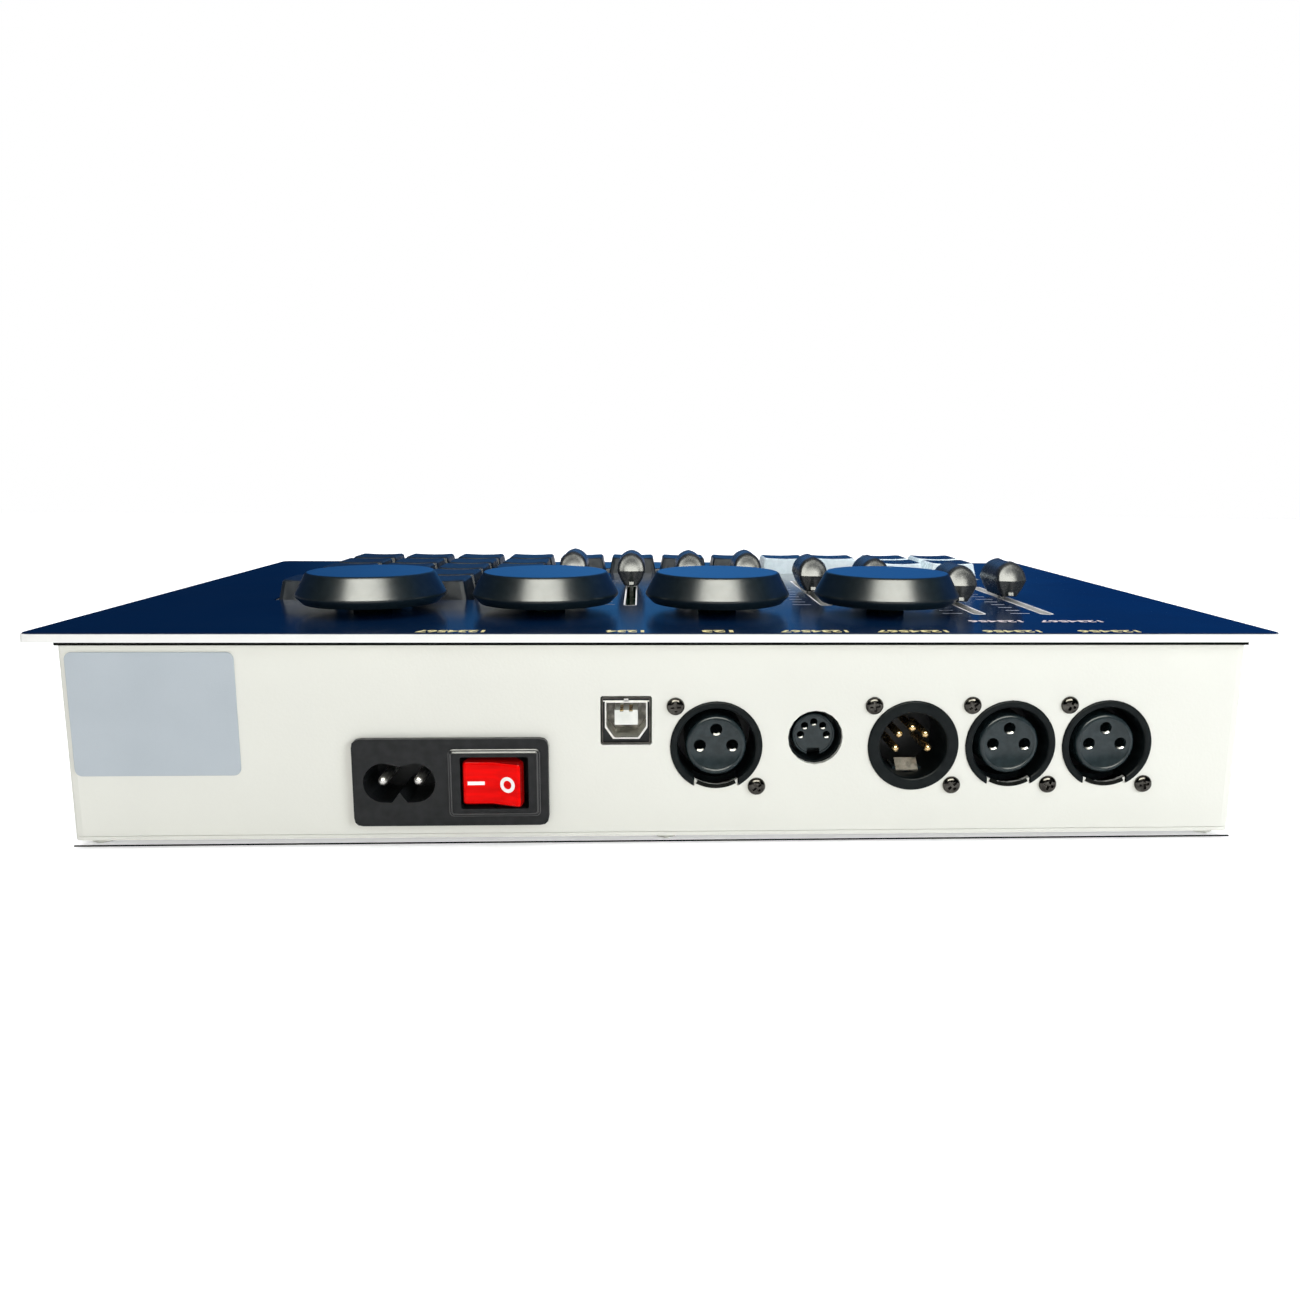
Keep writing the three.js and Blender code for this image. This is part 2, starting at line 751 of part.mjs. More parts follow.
// The board with everything that is soldered or screwed to it
function controlBoard(keys, faders, knobNumbers) {
  return unite([
    bareBoard(),
    ...keys.map(({ x, y }) => keySwitch(x, y)),
    ...faders.map(({ x, slotY }) => faderPot(x, slotY)),
    ...knobNumbers.map((number) => encoder(knobX(number), knobY)),
    ...pillarPlaces().map(({ x, y }) => screw(x, y, boardUnderside + seat)),
  ]);
}

function knob(x, y) {
  const shaft = shaftDiameter / 2;
  const profile = [
    [0, -shaftDepth], [shaft, -shaftDepth], [shaft, knobGap], [knobFootRadius, knobGap],
    [knobRadius, knobRimLow], [knobRadius, knobRimHigh], [knobTopRadius, knobTop - knobEdge],
    [knobTopRadius - knobEdge, knobTop], [0, knobTop],
  ];
  return turned(profile, x, y, deckTop, knobSteps);
}

// Sockets on the panel

function socketBody(x) {
  const shape = roundedRectangle(socketBodyWidth, socketBodyHeight, socketBodyCorner, x, connectorZ);
  const body = panelPrism(shape, socketFront, ioBoardFront - seat, plainSteps);
  const collar = drum(roundSocketRadius, panelFace - socketProud, socketFront + seat, x, connectorZ);
  const screws = [-1, 1].map((side) => panelScrew(x + side * panelScrewX, connectorZ - side * panelScrewZ));
  return unite([body, collar, ...screws]);
}

function xlrFemale(x) {
  const face = panelFace - socketProud;
  const floor = panelFace + socketFloor;
  const coreFront = panelFace + femaleCoreSetback;
  const groove = turnedInward([
    [0, face - overrun], [femaleBore, face - overrun], [femaleBore, floor], [femaleCore, floor],
    [femaleCore, coreFront + femaleCoreBevel], [femaleCore - femaleCoreBevel, coreFront], [0, coreFront],
  ], x, 0, connectorZ, roundSteps);
  const holes = femaleHoleAngles.map((degrees) => {
    const angle = THREE.MathUtils.degToRad(degrees);
    const holeX = x + femaleHoleCircle * Math.cos(angle);
    const holeZ = connectorZ + femaleHoleCircle * Math.sin(angle);
    return drum(femaleHoleRadius, coreFront - overrun, coreFront + femaleHoleDepth, holeX, holeZ, smallSteps);
  });
  const latchZ = connectorZ - roundSocketRadius - overrun;
  const latchHeight = connectorZ - femaleCore - fit - latchZ;
  const latchY = face + (latchDepth - overrun) / 2;
  const latch = box(latchWidth, latchDepth + overrun, latchHeight, x, latchY, latchZ);
  return socketBody(x).subtract(unite([groove, latch, ...holes]));
}

function pin(radius, yTip, yRoot, x, z) {
  const profile = [[0, yTip], [radius / 2, yTip], [radius, yTip + radius], [radius, yRoot], [0, yRoot]];
  return turnedInward(profile, x, 0, z, smallSteps);
}

function xlrMaleSocket() {
  const x = connectorX(xlrMalePlace);
  const face = panelFace - socketProud;
  const floor = panelFace + socketFloor;
  const cavity = drum(maleBore, face - overrun, floor, x, connectorZ);
  const windowY = floor - latchWindowLength;
  const windowLow = connectorZ - maleBore - latchWindowDrop;
  const window = box(latchWindowWidth, latchWindowLength, maleBore, x, windowY, windowLow);
  const body = socketBody(x).subtract(unite([cavity, window]));
  const pins = [-2, -1, 0, 1, 2].map((place) => {
    const angle = quarterTurn + THREE.MathUtils.degToRad(place * malePinStep);
    const pinX = x + malePinCircle * Math.cos(angle);
    const pinZ = connectorZ + malePinCircle * Math.sin(angle);
    return pin(malePinRadius, panelFace + malePinSetback, floor + seat, pinX, pinZ);
  });
  return unite([body, ...pins]);
}

function dinSocket() {
  const x = connectorX(dinPlace);
  const insertFront = panelFace + dinInsertSetback;
  const grooveFloor = insertFront + dinGrooveDepth;
  const shape = roundedRectangle(dinBodyWidth, dinBodyHeight, socketBodyCorner, x, dinZ);
  const body = panelPrism(shape, socketFront, ioBoardFront - seat, plainSteps);
  const groove = turnedInward([
    [0, panelFace - overrun], [dinHoleRadius, panelFace - overrun], [dinHoleRadius, grooveFloor],
    [dinInsertRadius, grooveFloor], [dinInsertRadius, insertFront], [0, insertFront],
  ], x, 0, dinZ, roundSteps);
  const holes = dinPinAngles.map((degrees) => {
    const angle = THREE.MathUtils.degToRad(degrees);
    const holeX = x + dinPinCircle * Math.cos(angle);
    const holeZ = dinZ + dinPinCircle * Math.sin(angle);
    return drum(dinPinRadius, insertFront - overrun, insertFront + dinPinDepth, holeX, holeZ, smallSteps);
  });
  const keyZ = dinZ - dinInsertRadius - overrun;
  const key = box(dinKeyWidth, dinPinDepth, dinKeyDepth + overrun, x, insertFront, keyZ);
  return body.subtract(unite([groove, key, ...holes]));
}

// Mouth with its two lower corners cut off
function usbMouth() {
  const [halfX, halfZ] = [usbMouthWidth / 2, usbMouthHeight / 2];
  const outline = new THREE.Shape();
  outline.moveTo(usbX - halfX, usbZ + halfZ);
  outline.lineTo(usbX - halfX, usbZ - halfZ + usbChamferHeight);
  outline.lineTo(usbX - halfX + usbChamferWidth, usbZ - halfZ);
  outline.lineTo(usbX + halfX - usbChamferWidth, usbZ - halfZ);
  outline.lineTo(usbX + halfX, usbZ - halfZ + usbChamferHeight);
  outline.lineTo(usbX + halfX, usbZ + halfZ);
  return outline.closePath();
}

function usbSocket() {
  const mouth = panelFace + seat;
  const floor = mouth + usbDepth;
  const square = roundedRectangle(usbShellWidth, usbShellHeight, usbShellCorner, usbX, usbZ);
  const shell = panelPrism(square, mouth, ioBoardFront - seat, straightSteps);
  const hollow = panelPrism(usbMouth(), mouth - overrun, floor);
  const tongueFront = mouth + usbTongueSetback;
  const length = floor + seat - tongueFront;
  const tongueZ = usbZ + usbTongueRise - usbTongueHeight / 2;
  const tongue = box(usbTongueWidth, length, usbTongueHeight, usbX, tongueFront + length / 2, tongueZ);
  return shell.subtract(hollow).add(tongue);
}

// Figure-of-eight mouth with a sharp notch below and a soft dip above
function inletMouth() {
  const lobe = mouthHeight / 2;
  const reach = mouthWidth / 2 - lobe;
  const middle = inletX - mouthOffset;
  const outline = new THREE.Shape();
  outline.absarc(middle + reach, inletZ, lobe, -quarterTurn, quarterTurn, false);
  outline.lineTo(middle, inletZ + lobe - mouthDip);
  outline.absarc(middle - reach, inletZ, lobe, quarterTurn, 3 * quarterTurn, false);
  outline.lineTo(middle - mouthNotchWidth / 2, inletZ - lobe);
  outline.lineTo(middle, inletZ - lobe + mouthNotch);
  outline.lineTo(middle + mouthNotchWidth / 2, inletZ - lobe);
  return outline.closePath();
}

function powerInlet() {
  const face = panelFace - seat - inletFlange;
  const bezelX = inletX + bezelOffset;
  const bezelFace = face - bezelProud;
  const flange = roundedRectangle(inletWidth, inletHeight, inletCorner, inletX, inletZ);
  const body = roundedRectangle(inletBodyWidth, inletBodyHeight, inletCorner, inletX, inletZ);
  const bezel = roundedRectangle(bezelWidth, bezelHeight, bezelCorner, bezelX, inletZ);
  const well = roundedRectangle(bezelWellWidth, bezelWellHeight, bezelCorner / 2, bezelX, inletZ);
  const housing = unite([
    panelPrism(flange, face, panelFace - seat),
    panelPrism(body, face + inletFlange / 2, panelFace + inletBodyDepth),
    panelPrism(bezel, bezelFace, face + inletFlange / 2),
  ]);
  const mouthFloor = face + mouthDepth;
  const pivotY = bezelFace + rockerPivot;
  const axleHalf = bezelWellHeight / 2 + rockerAxleReach;
  const pocket = circle(rockerAxleRadius + fit, bezelX, pivotY);
  const axle = slab(pocket, inletZ - axleHalf, inletZ + axleHalf, plainSteps);
  const hollow = housing.subtract(unite([
    panelPrism(inletMouth(), face - overrun, mouthFloor, lobeSteps),
    panelPrism(well, bezelFace - overrun, bezelFace + bezelWellDepth),
    axle,
  ]));
  const pins = [-1, 1].map((side) => {
    const x = inletX - mouthOffset + (side * inletPinSpacing) / 2;
    return pin(inletPinRadius, face + inletPinSetback, mouthFloor + seat, x, inletZ);
  });
  return unite([hollow, ...pins]);
}

// Two facets that meet in a shallow valley. At rest the left one is flush and the right one stands out
function rocker() {
  const bezelFace = panelFace - seat - inletFlange - bezelProud;
  const half = rockerWidth / 2;
  const rise = half * Math.tan(THREE.MathUtils.degToRad(rockerTilt));
  const tail = half * rockerTailShare;
  const points = [
    [-half, -rise], [0, 0], [half, -rise], [half, rockerWaist - rise], [tail, rockerDepth],
    [-tail, rockerDepth], [-half, rockerWaist - rise],
  ];
  const outline = new THREE.Shape(points.map(([x, y]) => new THREE.Vector2(x, y)));
  const zLow = inletZ - rockerHeight / 2;
  const axleHalf = bezelWellHeight / 2 + rockerAxleReach - fit;
  const body = slab(outline, zLow, zLow + rockerHeight);
  const axleShape = circle(rockerAxleRadius, 0, rockerPivot);
  const axle = slab(axleShape, inletZ - axleHalf, inletZ + axleHalf, plainSteps);
  const placed = body.add(axle).translate(0, -rockerPivot, 0).rotate(0, 0, -rockerTilt);
  return placed.translate(inletX + bezelOffset, bezelFace + rockerPivot, 0);
}

// Pan-head screw going into the panel
function panelScrew(x, z) {
  const [head, shank] = [panelScrewHead / 2, panelScrewDiameter / 2];
  const front = panelFace - seat - panelScrewHeadHeight;
  const profile = [
    [0, front], [head, front], [head, panelFace - seat],
    [shank, panelFace - seat], [shank, panelFace + panelScrewLength], [0, panelFace + panelScrewLength],
  ];
  return turnedInward(profile, x, 0, z, smallSteps);
}

function ioBoard() {
  const left = usbX - usbShellWidth / 2 - ioBoardMargin;
  const right = connectorX(Math.max(...xlrFemalePlaces)) + socketBodyWidth / 2;
  const low = baseTop + ioBoardGap;
  const high = boardUnderside - overrun;
  const shape = roundedRectangle(right - left, high - low, fit, (left + right) / 2, (low + high) / 2);
  return panelPrism(shape, ioBoardFront, ioBoardFront + boardThickness, straightSteps);
}

// The assembly

publish('deck_plate', deckPlate(), whitePaint());
publish('deck_film', deckFilm(), navyFilm());
publish('wall_frame', wallFrame(), whitePaint());
publish('base_plate', basePlate(), whitePaint());
publish('rubber_foot_rear_left', rubberFoot(-1, -1), rubber());
publish('rubber_foot_rear_right', rubberFoot(1, -1), rubber());
publish('rubber_foot_front_left', rubberFoot(-1, 1), rubber());
publish('rubber_foot_front_right', rubberFoot(1, 1), rubber());

const keys = keyPlaces();
const faders = faderPlaces();
const knobNumbers = Array.from({ length: knobCount }, (_, i) => i + 1);
publish('control_board', controlBoard(keys, faders, knobNumbers), greenBoard());
for (const { row, column, x, y } of keys) {
  publish(`keycap_r${row}_c${column}`, keyCap(x, y), column <= darkColumns ? darkKey() : paleKey());
}
for (const { number, x, capY } of faders) {
  publish(`fader_cap_${number}`, faderCap(x, capY), glossyBlack());
}
for (const number of knobNumbers) {
  publish(`encoder_knob_${number}`, knob(knobX(number), knobY), satinGrey());
}

publish('io_board', ioBoard(), greenBoard());
publish('power_inlet', powerInlet(), blackPlastic());
publish('power_rocker', rocker(), redRocker());
publish('usb_socket', usbSocket(), brightMetal());
publish('din_socket', dinSocket(), blackPlastic());
publish('xlr_male_socket', xlrMaleSocket(), blackPlastic());
for (const place of xlrFemalePlaces) {
  publish(`xlr_female_socket_${place}`, xlrFemale(connectorX(place)), blackPlastic());
}

export default group;
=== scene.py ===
# Lighting fader wing: finishes, fine detail, light and camera. Metres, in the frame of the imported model.

import json
from math import atan2, cos, degrees, pi, radians, sin
import bmesh
import bpy
from mathutils import Matrix, Vector


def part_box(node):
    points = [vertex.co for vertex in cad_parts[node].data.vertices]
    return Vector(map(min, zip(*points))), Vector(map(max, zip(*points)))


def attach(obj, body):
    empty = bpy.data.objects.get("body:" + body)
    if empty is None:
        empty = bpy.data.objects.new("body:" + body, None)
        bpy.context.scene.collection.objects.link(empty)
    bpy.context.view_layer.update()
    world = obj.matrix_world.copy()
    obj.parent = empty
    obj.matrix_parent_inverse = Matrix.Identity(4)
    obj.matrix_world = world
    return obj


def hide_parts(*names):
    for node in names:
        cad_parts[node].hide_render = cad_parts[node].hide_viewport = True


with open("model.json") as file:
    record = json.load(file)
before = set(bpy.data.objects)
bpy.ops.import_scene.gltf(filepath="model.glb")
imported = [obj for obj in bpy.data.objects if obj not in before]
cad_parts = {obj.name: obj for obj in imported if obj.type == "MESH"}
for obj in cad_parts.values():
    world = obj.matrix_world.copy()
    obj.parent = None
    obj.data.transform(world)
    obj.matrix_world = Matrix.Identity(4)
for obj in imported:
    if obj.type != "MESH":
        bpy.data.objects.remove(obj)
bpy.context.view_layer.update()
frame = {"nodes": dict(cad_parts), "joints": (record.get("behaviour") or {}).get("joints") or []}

MM = 0.001
nodes = frame["nodes"]

# Camera, solved from the photograph's edges
CAMERA_PLACE = Vector((-6.4, -331.9, 95.0)) * MM
CAMERA_YAW = radians(2.64)
CAMERA_DOWN = radians(9.762)
CAMERA_ROLL = radians(0.433)
CAMERA_LENS = 28.14
CAMERA_SHIFT_X = -0.0286
CAMERA_SHIFT_Y = -0.008

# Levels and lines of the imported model
CASE_LOW, CASE_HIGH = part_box("wall_frame")
PANEL_Y = CASE_LOW.y
DECK_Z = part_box("deck_film")[1].z
REAR_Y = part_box("deck_plate")[0].y

PIECE_STEPS = 64
SMALL_STEPS = 24
WELD = 1e-7

# Angles at which a rounded edge has a point, in radians from its start
CLOSE_BEND = (0.4, 0.8, 1.2, pi / 2)
WIDE_BEND = (0, 0.5, 1.0, pi / 2)
CORE_BEND = (0.3, 0.7, 1.1, pi / 2)


# Mesh helpers

def linked(name, data):
    thing = bpy.data.objects.new(name, data)
    bpy.context.scene.collection.objects.link(thing)
    return thing


def mesh_object(name, vertices, faces, material):
    mesh = bpy.data.meshes.new(name)
    mesh.from_pydata([tuple(v) for v in vertices], [], faces)
    mesh.materials.append(material)
    piece = linked(name, mesh)
    tidy_normals(piece)
    return piece


def tidy_normals(piece):
    bm = bmesh.new()
    bm.from_mesh(piece.data)
    bmesh.ops.remove_doubles(bm, verts=bm.verts, dist=WELD)
    bmesh.ops.recalc_face_normals(bm, faces=bm.faces)
    bm.to_mesh(piece.data)
    bm.free()


def smooth(piece, sharp=35):
    for polygon in piece.data.polygons:
        polygon.use_smooth = True
    piece.data.set_sharp_from_angle(angle=radians(sharp))
    return piece


def soften(piece, width, sharp=28, segments=3):
    bevel = piece.modifiers.new("soft_edges", "BEVEL")
    bevel.width = width
    bevel.segments = segments
    bevel.limit_method = "ANGLE"
    bevel.angle_limit = radians(sharp)
    smooth(piece, sharp)
    return piece


def settle(piece):
    """Turns a piece's modifiers into its own mesh."""
    graph = bpy.context.evaluated_depsgraph_get()
    settled = bpy.data.meshes.new_from_object(piece.evaluated_get(graph))
    piece.modifiers.clear()
    piece.data = settled


def cut(piece, cutters):
    for cutter in cutters:
        boolean = piece.modifiers.new("cut", "BOOLEAN")
        boolean.operation = "DIFFERENCE"
        boolean.solver = "EXACT"
        boolean.object = cutter
    settle(piece)
    for cutter in cutters:
        bpy.data.objects.remove(cutter)
    return piece


def join(name, pieces):
    """One object from several, with their materials kept."""
    bm = bmesh.new()
    materials = []
    for piece in pieces:
        start = len(bm.faces)
        bm.from_mesh(piece.data)
        bm.faces.ensure_lookup_table()
        for face in bm.faces[start:]:
            material = piece.data.materials[face.material_index]
            if material not in materials:
                materials.append(material)
            face.material_index = materials.index(material)
    mesh = bpy.data.meshes.new(name)
    bm.to_mesh(mesh)
    bm.free()
    for material in materials:
        mesh.materials.append(material)
    whole = linked(name, mesh)
    for piece in pieces:
        bpy.data.objects.remove(piece)
    return whole


def middle(low, high):
    """Middle of a box, from its corners."""
    return [(a + b) / 2 for a, b in zip(low, high)]


def band(near, far, count):
    """Faces between two rings of count vertices each, from the number of each ring's first vertex."""
    return [[near + i, near + (i + 1) % count, far + (i + 1) % count, far + i] for i in range(count)]


def around(turn, radius):
    """Offset in the panel's plane, turned by degrees from the right."""
    angle = radians(turn)
    return Vector((cos(angle), 0, sin(angle))) * radius


def sector(name, profile, place, material, start, end, steps=8):
    """A closed profile of (radius, depth) pairs turned about Y through part of a turn, angles in degrees."""
    count = len(profile)
    vertices = []
    for i in range(steps + 1):
        angle = radians(start + (end - start) * i / steps)
        for radius, along in profile:
            vertices.append(place + Vector((radius * cos(angle), along, radius * sin(angle))))
    faces = [list(range(count)), list(range(count * steps, count * (steps + 1)))]
    for i in range(steps):
        faces += band(i * count, (i + 1) * count, count)
    return smooth(mesh_object(name, vertices, faces, material))


def revolve(name, profile, place, material, axis="Z", steps=PIECE_STEPS):
    """A profile of (radius, along) pairs turned about an axis through place: Z up, or Y into the panel."""
    vertices = []
    rows = []
    for radius, along in profile:
        row = []
        count = 1 if radius == 0 else steps
        for i in range(count):
            angle = 2 * pi * i / steps
            row.append(len(vertices))
            across = (radius * cos(angle), radius * sin(angle))
            if axis == "Z":
                vertices.append(place + Vector((across[0], across[1], along)))
            else:
                vertices.append(place + Vector((across[0], along, across[1])))
        rows.append(row)
    faces = []
    for near, far in zip(rows, rows[1:]):
        for i in range(steps):
            j = (i + 1) % steps
            ring = [near[i % len(near)], near[j % len(near)], far[j % len(far)], far[i % len(far)]]
            face = list(dict.fromkeys(ring))
            if len(face) > 2:
                faces.append(face)
    return smooth(mesh_object(name, vertices, faces, material))


def panel_block(name, outline, front, back, material):
    """A closed outline of (x, z) points run from one y to another."""
    count = len(outline)
    vertices = [Vector((x, y, z)) for y in (front, back) for x, z in outline]
    faces = [list(range(count)), list(range(2 * count - 1, count - 1, -1)), *band(0, count, count)]
    return mesh_object(name, vertices, faces, material)


def box_mesh(name, width, depth, height, x, y, z, material):
    """A block centred on x and y that stands on z."""
    left, right, top = x - width / 2, x + width / 2, z + height
    outline = [(left, z), (right, z), (right, top), (left, top)]
    return panel_block(name, outline, y - depth / 2, y + depth / 2, material)


def rounded(width, height, radius, x, z, steps=6):
    points = []
    for quarter, (side_x, side_z) in enumerate([(1, 1), (-1, 1), (-1, -1), (1, -1)]):
        for i in range(steps + 1):
            angle = (quarter + i / steps) * pi / 2
            points.append((x + side_x * (width / 2 - radius) + radius * cos(angle),
                           z + side_z * (height / 2 - radius) + radius * sin(angle)))
    return points


def dress(piece, body, slot, *replaced):
    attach(piece, body)
    if replaced:
        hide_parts(*replaced)


# Material helpers

UPWARD = (0, 0, 1)
FORWARD = (0, -1, 0)


def new_material(name):
    material = bpy.data.materials.new(name)
    material.use_nodes = True
    tree = material.node_tree
    shader = tree.nodes["Principled BSDF"]
    return material, tree, shader


def noise(tree, scale, detail=3.0, stretch=(1, 1, 1)):
    place = tree.nodes.new("ShaderNodeTexCoord")
    mapping = tree.nodes.new("ShaderNodeMapping")
    mapping.inputs["Scale"].default_value = stretch
    texture = tree.nodes.new("ShaderNodeTexNoise")
    texture.inputs["Scale"].default_value = scale
    texture.inputs["Detail"].default_value = detail
    tree.links.new(place.outputs["Object"], mapping.inputs["Vector"])
    tree.links.new(mapping.outputs["Vector"], texture.inputs["Vector"])
    return texture.outputs["Fac"]


def ramp(tree, source, low, high, stops=(0.35, 0.65)):
    spread = tree.nodes.new("ShaderNodeValToRGB")
    for element, position, colour in zip(spread.color_ramp.elements, stops, (low, high)):
        element.position = position
        element.color = (*colour, 1) if isinstance(colour, tuple) else (colour, colour, colour, 1)
    tree.links.new(source, spread.inputs["Fac"])
    return spread.outputs["Color"]


def bump(tree, shader, source, strength, distance):
    node = tree.nodes.new("ShaderNodeBump")
    node.inputs["Strength"].default_value = strength
    node.inputs["Distance"].default_value = distance
    tree.links.new(source, node.inputs["Height"])
    tree.links.new(node.outputs["Normal"], shader.inputs["Normal"])


def maths(tree, operation, source, *values):
    """One calculation on a node's output."""
    node = tree.nodes.new("ShaderNodeMath")
    node.operation = operation
    tree.links.new(source, node.inputs[0])
    for place, value in enumerate(values, 1):
        node.inputs[place].default_value = value
    return node.outputs["Value"]


def facing_share(tree, direction, threshold):
    """1 on faces that look nearly in a direction, 0 elsewhere."""
    geometry = tree.nodes.new("ShaderNodeNewGeometry")
    along = tree.nodes.new("ShaderNodeVectorMath")
    along.operation = "DOT_PRODUCT"
    along.inputs[1].default_value = direction
    tree.links.new(geometry.outputs["Normal"], along.inputs[0])
    return maths(tree, "GREATER_THAN", along.outputs["Value"], threshold)


def mix_colour(tree, factor, first, second):
    mixer = tree.nodes.new("ShaderNodeMix")
    mixer.data_type = "RGBA"
    tree.links.new(factor, mixer.inputs["Factor"])
    for socket, value in ((mixer.inputs["A"], first), (mixer.inputs["B"], second)):
        if isinstance(value, tuple):
            socket.default_value = (*value, 1)
        else:
            tree.links.new(value, socket)
    return mixer.outputs["Result"]


def surface(name, colour, roughness, shine=None, relief=None, face=None):
    """A material that varies by noise: colour is (scale, low, high) or with the detail too, roughness
    (scale, low, high), relief (scale, detail, strength, distance), face (direction, threshold, colour)."""
    material, tree, shader = new_material(name)
    scale, low, high, *detail = colour
    tone = ramp(tree, noise(tree, scale, *detail), low, high)
    # Faces that look one way take their own colour: the painted top reflection on the knobs, and the dark
    # tops beside the painted pale sides of the light keys.
    if face:
        direction, threshold, face_colour = face
        tone = mix_colour(tree, facing_share(tree, direction, threshold), tone, face_colour)
    tree.links.new(tone, shader.inputs["Base Color"])
    scale, low, high = roughness
    tree.links.new(ramp(tree, noise(tree, scale), low, high), shader.inputs["Roughness"])
    if shine is not None:
        shader.inputs["Specular IOR Level"].default_value = shine
    if relief:
        scale, detail, strength, distance = relief
        bump(tree, shader, noise(tree, scale, detail), strength, distance)
    return material


# Materials

def powder_coat(name, low, high):
    return surface(name, (35, low, high, 2), (260, 0.34, 0.5), relief=(1400, 2, 0.18, 0.0002))


def printed_film():
    material, tree, shader = new_material("navy_film")
    base = ramp(tree, noise(tree, 9, 2), (0.0010, 0.009, 0.034), (0.0016, 0.013, 0.044), stops=(0.3, 0.7))
    specks = ramp(tree, noise(tree, 420, 4), 0.0, 1.0, stops=(0.74, 0.8))
    tree.links.new(mix_colour(tree, specks, base, (0.03, 0.06, 0.12)), shader.inputs["Base Color"])
    tree.links.new(ramp(tree, noise(tree, 60, 4), 0.17, 0.22), shader.inputs["Roughness"])
    bump(tree, shader, noise(tree, 2600, 2), 0.06, 0.0001)
    return material


def knob_plastic():
    # Charcoal plastic; faces that look straight up get a bright blue, a painted reflection of the blue
    # surroundings on the knob's top.
    return surface("charcoal_plastic_painted_top_reflection", (900, (0.003, 0.008, 0.011), (0.006, 0.013, 0.017)),
                   (500, 0.29, 0.32), shine=1.0, relief=(3200, 2, 0.06, 0.00004),
                   face=(UPWARD, 0.97, (0.006, 0.065, 0.20)))


def cap_plastic():
    return surface("fader_cap_plastic", (300, (0.02, 0.023, 0.025), (0.032, 0.035, 0.037)),
                   (700, 0.25, 0.29), shine=0.9, relief=(3000, 2, 0.05, 0.00004))


def key_plastic(name, sides_low, sides_high, top, roughness):
    # Sides and tops take their own colours; on the light keys the pale sides are a painted reflection of the
    # bright room in front, over the dark plastic that their tops show.
    return surface(name, (160, sides_low, sides_high), (600, roughness, roughness + 0.1),
                   relief=(2800, 2, 0.12, 0.0001), face=(UPWARD, 0.8, top))


def black_plastic(name, low, high, shine):
    return surface(name, (400, low, high), (800, 0.28, 0.38), shine, (3600, 2, 0.25, 0.00006))


def seam_shadow():
    return surface("seam_shadow", (300, (0.002, 0.003, 0.002), (0.005, 0.006, 0.005)),
                   (500, 0.8, 0.9), shine=0.1)


def socket_core_plastic():
    return surface("socket_core_plastic", (500, (0.009, 0.017, 0.019), (0.015, 0.025, 0.028)),
                   (900, 0.22, 0.26), shine=0.4, relief=(3000, 2, 0.08, 0.00005))


def plated(name, low, high, roughness):
    material = surface(name, (600, low, high), (1500, roughness, roughness + 0.12))
    material.node_tree.nodes["Principled BSDF"].inputs["Metallic"].default_value = 1.0
    return material


def red_with_painted_glow():
    material, tree, shader = new_material("red_plastic_painted_glow")
    streaks = noise(tree, 420, 4, (0.15, 1, 1.6))
    face = ramp(tree, streaks, (0.56, 0.0008, 0.0006), (0.74, 0.0015, 0.001))
    # Faces that do not look forward take a darker red: painted shade on the rocker's side bands.
    tone = mix_colour(tree, facing_share(tree, FORWARD, 0.8), (0.17, 0.001, 0.001), face)
    tree.links.new(tone, shader.inputs["Base Color"])
    tree.links.new(ramp(tree, noise(tree, 500), 0.1, 0.18), shader.inputs["Roughness"])
    shader.inputs["Specular IOR Level"].default_value = 0.06
    # A weak emission of the same red is a painted glow that deepens the colour.
    tree.links.new(tone, shader.inputs["Emission Color"])
    shader.inputs["Emission Strength"].default_value = 0.15
    return material


def white_plastic():
    return surface("white_insert_plastic", (300, (0.66, 0.67, 0.62), (0.76, 0.77, 0.72)),
                   (900, 0.35, 0.45), relief=(2500, 2, 0.1, 0.0001))


def label_plate():
    return surface("grey_label_film", (60, (0.395, 0.44, 0.475), (0.415, 0.46, 0.495)),
                   (700, 0.4, 0.52), relief=(2200, 3, 0.25, 0.0001))


def ink(name, low, high):
    return surface(name, (900, low, high), (900, 0.45, 0.45))


def rubber():
    return surface("foot_rubber", (300, (0.012, 0.012, 0.012), (0.022, 0.022, 0.022)),
                   (500, 0.7, 0.85), relief=(1800, 2, 0.3, 0.0002))


def board_material():
    return surface("circuit_board", (200, (0.01, 0.07, 0.03), (0.02, 0.11, 0.05)), (700, 0.3, 0.45))


DECK_WHITE = powder_coat("deck_powder_coat", (0.78, 0.78, 0.75), (0.80, 0.80, 0.77))
CASE_WHITE = powder_coat("case_powder_coat", (0.68, 0.68, 0.62), (0.695, 0.695, 0.634))
FILM = printed_film()
KNOB = knob_plastic()
CAP = cap_plastic()
DARK_KEY = key_plastic("dark_key_plastic", (0.007, 0.013, 0.022), (0.014, 0.022, 0.034),
                       (0.005, 0.013, 0.033), 0.3)
